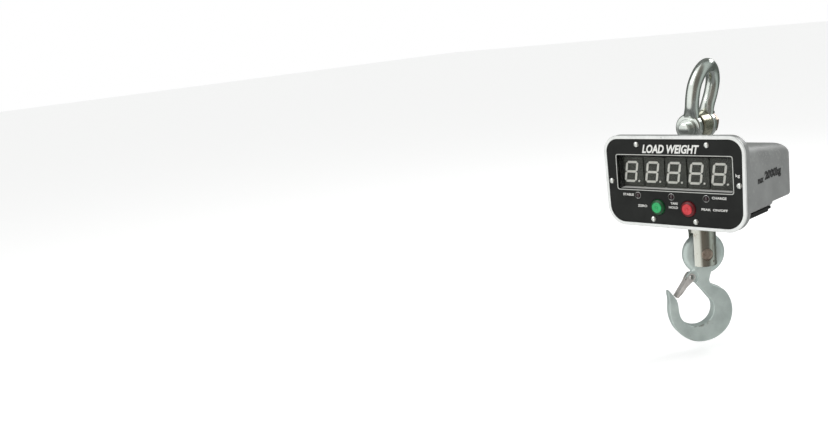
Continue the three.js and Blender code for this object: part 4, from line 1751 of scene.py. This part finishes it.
@dataclass
class Fork:
    """The swivel fork with the hook pin. Its frame is the hook pin's, with the pin along Y."""

    datum: Datum
    barrel: float = 19.0
    stem: float = 10.0
    slot: float = 9.8
    pin: float = 8.0
    stem_top: float = 102.5
    top: float = 56.5
    foot: float = -18.0
    slot_top: float = 31.3

    def build(self) -> None:
        """Build the fork's pieces."""
        place = self.datum.fork_place
        self.fork().piece("fork", TURNED_ZINC, "fork", place, ["swivel_fork"], angle=30)
        self.hook_pin().piece("fork_pin", PIN_STEEL, "fork", place, ["hook_pin"])
        dress(RUBBER, "pin_grub_screw")

    def fork(self) -> Shape:
        """Return the fork: a turned barrel on a stem, slotted for the hook's eye."""
        r = self.barrel
        body = Shape.turned(
            [
                (0, self.foot), (r - 2.0, self.foot), (r - 0.7, self.foot + 0.5), (r, self.foot + 1.9),
                (r, self.top - 1.5), (r - 1.5, self.top), (self.stem, self.top),
                (self.stem, self.stem_top - 1), (self.stem - 1, self.stem_top), (0, self.stem_top),
            ],
            96,
            Axis.Z,
        )
        gap = Shape.box((-30, -self.slot, self.foot - 10), (30, self.slot, self.slot_top))
        bore = Shape.rod(self.pin + 0.3, -40, 40, 56)
        grub = Shape.rod(1.7, -1, 12, 24, Axis.Z)
        grub.move(0, -r + 3.8, self.foot)
        chamfer = [
            Shape.turned([(0, a), (self.pin + 0.3, a), (self.pin + 1.3, b), (0, b)], 56)
            for a, b in ((-r + 1.0, -r - 0.6), (r - 1.0, r + 0.6))
        ]
        dot = Shape.rod(1.5, -4, 0, 24)
        dot.move(9.0, -r + 3.0, -10.5)
        return body.cut(gap).cut(bore).cut(grub).cut(*chamfer).cut(dot)

    def hook_pin(self) -> Shape:
        """Return the pin, with a slightly domed and centre-drilled end."""
        r, end = self.pin, self.barrel - 0.6
        profile = [
            (0, -end + 1.2), (1.0, -end + 0.1), (4.0, -end), (r - 1.2, -end + 0.25), (r, -end + 1.2),
            (r, end - 1.2), (r - 1.2, end - 0.25), (4.0, end), (1.0, end - 0.1), (0, end - 1.2),
        ]
        return Shape.turned(profile, 56)


@dataclass
class Hook:
    """The forged safety hook, its latch and rivet. Its frame is the hook pin's, thick in Y."""

    datum: Datum
    drop: float = 1.2
    eye: float = 30.5
    bore: float = 9.3
    half: float = 8.5
    bowl: Point2 = (-16.0, -81.5)
    bowl_radius: float = 25.0
    pivot: Point2 = (-20.5, -33.5)
    lug: float = 5.2
    spring_from: float = 1.8
    wire: float = 0.42
    coil: float = 3.1
    sweep: float = 9.7
    back: tuple[Point2, ...] = (
        (4.6, -40), (6.6, -46), (13, -49.6), (25, -56.5), (32.5, -68), (36, -82), (35, -97),
        (28.5, -112), (16, -123.5), (1, -129.3), (-16, -129.8), (-31, -124), (-43.5, -113),
        (-51.5, -99), (-55, -82), (-54.2, -66), (-55.4, -54),
    )
    latch_length: float = 36.4
    latch_half: float = 6.4
    latch_tip: Point2 = (-42.4, -65.0)

    def build(self) -> None:
        """Build the hook's pieces."""
        place = self.datum.fork_place
        self.hook().piece("hook_forging", FORGED_ZINC, "hook", place, ["hook"], angle=80)
        self.rivet().piece("latch_pin", PLAIN_STEEL, "hook", self.datum.latch_place, ["latch_rivet"])
        self.latch().piece("safety_latch", LATCH_STEEL, "latch", self.datum.latch_place, ["latch"])
        self.spring_coil().piece("latch_spring", PLAIN_STEEL, "hook", self.datum.latch_place)
        self.spring_leg().piece("latch_spring_leg", PLAIN_STEEL, "latch", self.datum.latch_place)

    def outline(self) -> list[Point2]:
        """Return the outline of the hook under its eye."""
        back = smooth_path([Vector((x, 0, z)) for x, z in self.back], 4)
        points = [(9.0, -24.0), *((p.x, p.z) for p in back)]
        points += [(-54.9, -50.6), (-53.2, -50.0), (-49.0, -56.0), (-43.6, -64.2), (-41.8, -70.5)]
        bx, bz = self.bowl
        for i in range(23):
            a = math.radians(180 + i * 201.6 / 22)
            points.append((bx + self.bowl_radius * math.cos(a), bz + self.bowl_radius * math.sin(a)))
        px, pz = self.pivot
        points += [(-3.5, -57.4), (-15.0, -42.5), (px - 1, pz - 6.0), (px - 4.5, pz - 3.4)]
        points += [(px - 5.6, pz), (px - 4.2, pz + 3.8), (px - 1.0, pz + 6.4), (-14.0, -20.0)]
        return points

    def hook(self) -> Shape:
        """Return the forging: body, eye and latch lug in one skin."""
        body = Shape.slab(self.outline(), 0, -self.half, self.half, 3.4)
        body.warp(self.thinned)
        middle, across = (self.eye + self.bore) / 2, (self.eye - self.bore) / 2
        ring = [
            (middle + across * bulge(math.cos(a), 0.95), self.half * bulge(math.sin(a), 0.95))
            for a in (math.radians(d) for d in range(0, 360, 12))
        ]
        eye = Shape.turned(ring, 80, closed=True).move(z=-self.drop)
        bore = Shape.rod(self.bore, -20, 20)
        px, pz = self.pivot
        sides = [
            Shape.rod(self.sweep, a, b, 40).move(px, 0, pz)
            for a, b in ((self.spring_from, 20), (-20, -self.lug))
        ]
        hole = Shape.rod(2.5, -20, 20, 24).move(px, 0, pz)
        body.gather([eye])
        body.forged(0.75, 5)
        return body.cut(bore.move(z=-self.drop), *sides).cut(hole).forged(0.62, 3)

    def thinned(self, at: Vector) -> Vector:
        """Return a point drawn in towards the middle plane where the hook runs out to its tip."""
        share = 0.0
        if at.x < -30:
            share = min(max((at.z + 100) / 50, 0), 1)
        return Vector((at.x, at.y * (1 - 0.28 * share), at.z))

    def rivet(self) -> Shape:
        """Return the rivet with a domed head at each end."""
        profile = [
            (0, -9.0), (1.6, -8.9), (2.8, -8.4), (3.5, -7.6), (3.6, -7.25), (2.1, -7.2),
            (2.1, 7.2), (3.6, 7.25), (3.5, 7.6), (2.8, 8.4), (1.6, 8.9), (0, 9.0),
        ]
        return Shape.turned(profile, 32)

    def spring_coil(self) -> Shape:
        """Return the torsion spring's coil on the rivet, with the leg that leans on the hook."""
        turns, start = 3, math.radians(60)
        path = []
        for i in range(turns * 20 + 1):
            a = start + i * math.tau / 20
            rise = self.spring_from + 0.8 + i * 2.4 / (turns * 20)
            path.append(Vector((self.coil * math.cos(a), rise, self.coil * math.sin(a))))
        path.insert(0, path[0] + Vector((6.2, 0, -1.9)))
        return Shape.swept(path, [(self.wire, self.wire)] * len(path), 10, Vector((0, 1, 0)))

    def spring_leg(self) -> Shape:
        """Return the spring's other leg, which lies inside the latch and closes it."""
        y = self.spring_from + 3.4
        path = smooth_path([Vector((-2.3, y, -1.6)), Vector((-2.35, y, -6)), Vector((-2.3, y - 2, -14))], 6)
        leg = Shape.swept(path, [(self.wire, self.wire)] * len(path), 10, Vector((0, 1, 0)))
        return leg.apply(Matrix.Rotation(-self.lean(), 4, "Y"))

    def lean(self) -> float:
        """Return how far the closed latch leans from upright, towards the hook's tip."""
        (x, z), (tip_x, tip_z) = self.pivot, self.latch_tip
        return math.atan2(tip_x - x, z - tip_z)

    def latch(self) -> Shape:
        """Return the latch: a folded sheet with two ears on the rivet and a foot at the tip."""
        long = self.latch_length
        side = [
            (-4.1, -long + 0.6), (-1.2, -long + 0.6), (1.4, -long + 12), (1.5, -14),
            (4.8, -5.0), (5.4, 5.4), (-5.4, 5.4), (-5.2, -6.0), (-4.1, -10.0),
        ]
        radii = [0.4, 1.0, 5.0, 5.0, 3.0, 5.2, 5.2, 3.0, 3.0]
        at = self.latch_half
        cheeks = [Shape.slab(side, radii, y - 0.6, y + 0.6, 0.2, steps=6) for y in (-at, at)]
        web = Shape.box((-4.2, -7.0, -long + 0.3), (-2.9, 7.0, -8.0), 0.25, 2)
        sheet = cheeks[0].join(cheeks[1]).join(web)
        hole = Shape.rod(2.4, -20, 20, 24)
        return sheet.cut(hole).apply(Matrix.Rotation(-self.lean(), 4, "Y"))


def bulge(value: float, power: float) -> float:
    """Return a sine or cosine bent outwards, for an oval between a circle and a square."""
    return math.copysign(abs(value) ** power, value)


def main() -> None:
    """Build the stage and every sub-assembly."""
    logging.basicConfig(level=logging.INFO, format="%(name)s: %(message)s")
    Viewpoint().make()
    Studio().make()
    datum = Datum()
    for part in (Shackle(datum), LoadCell(datum), Case(datum), Face(datum), Fork(datum), Hook(datum)):
        part.build()
        LOG.info("%s is built", type(part).__name__)


if __name__ == "__main__":
    main()
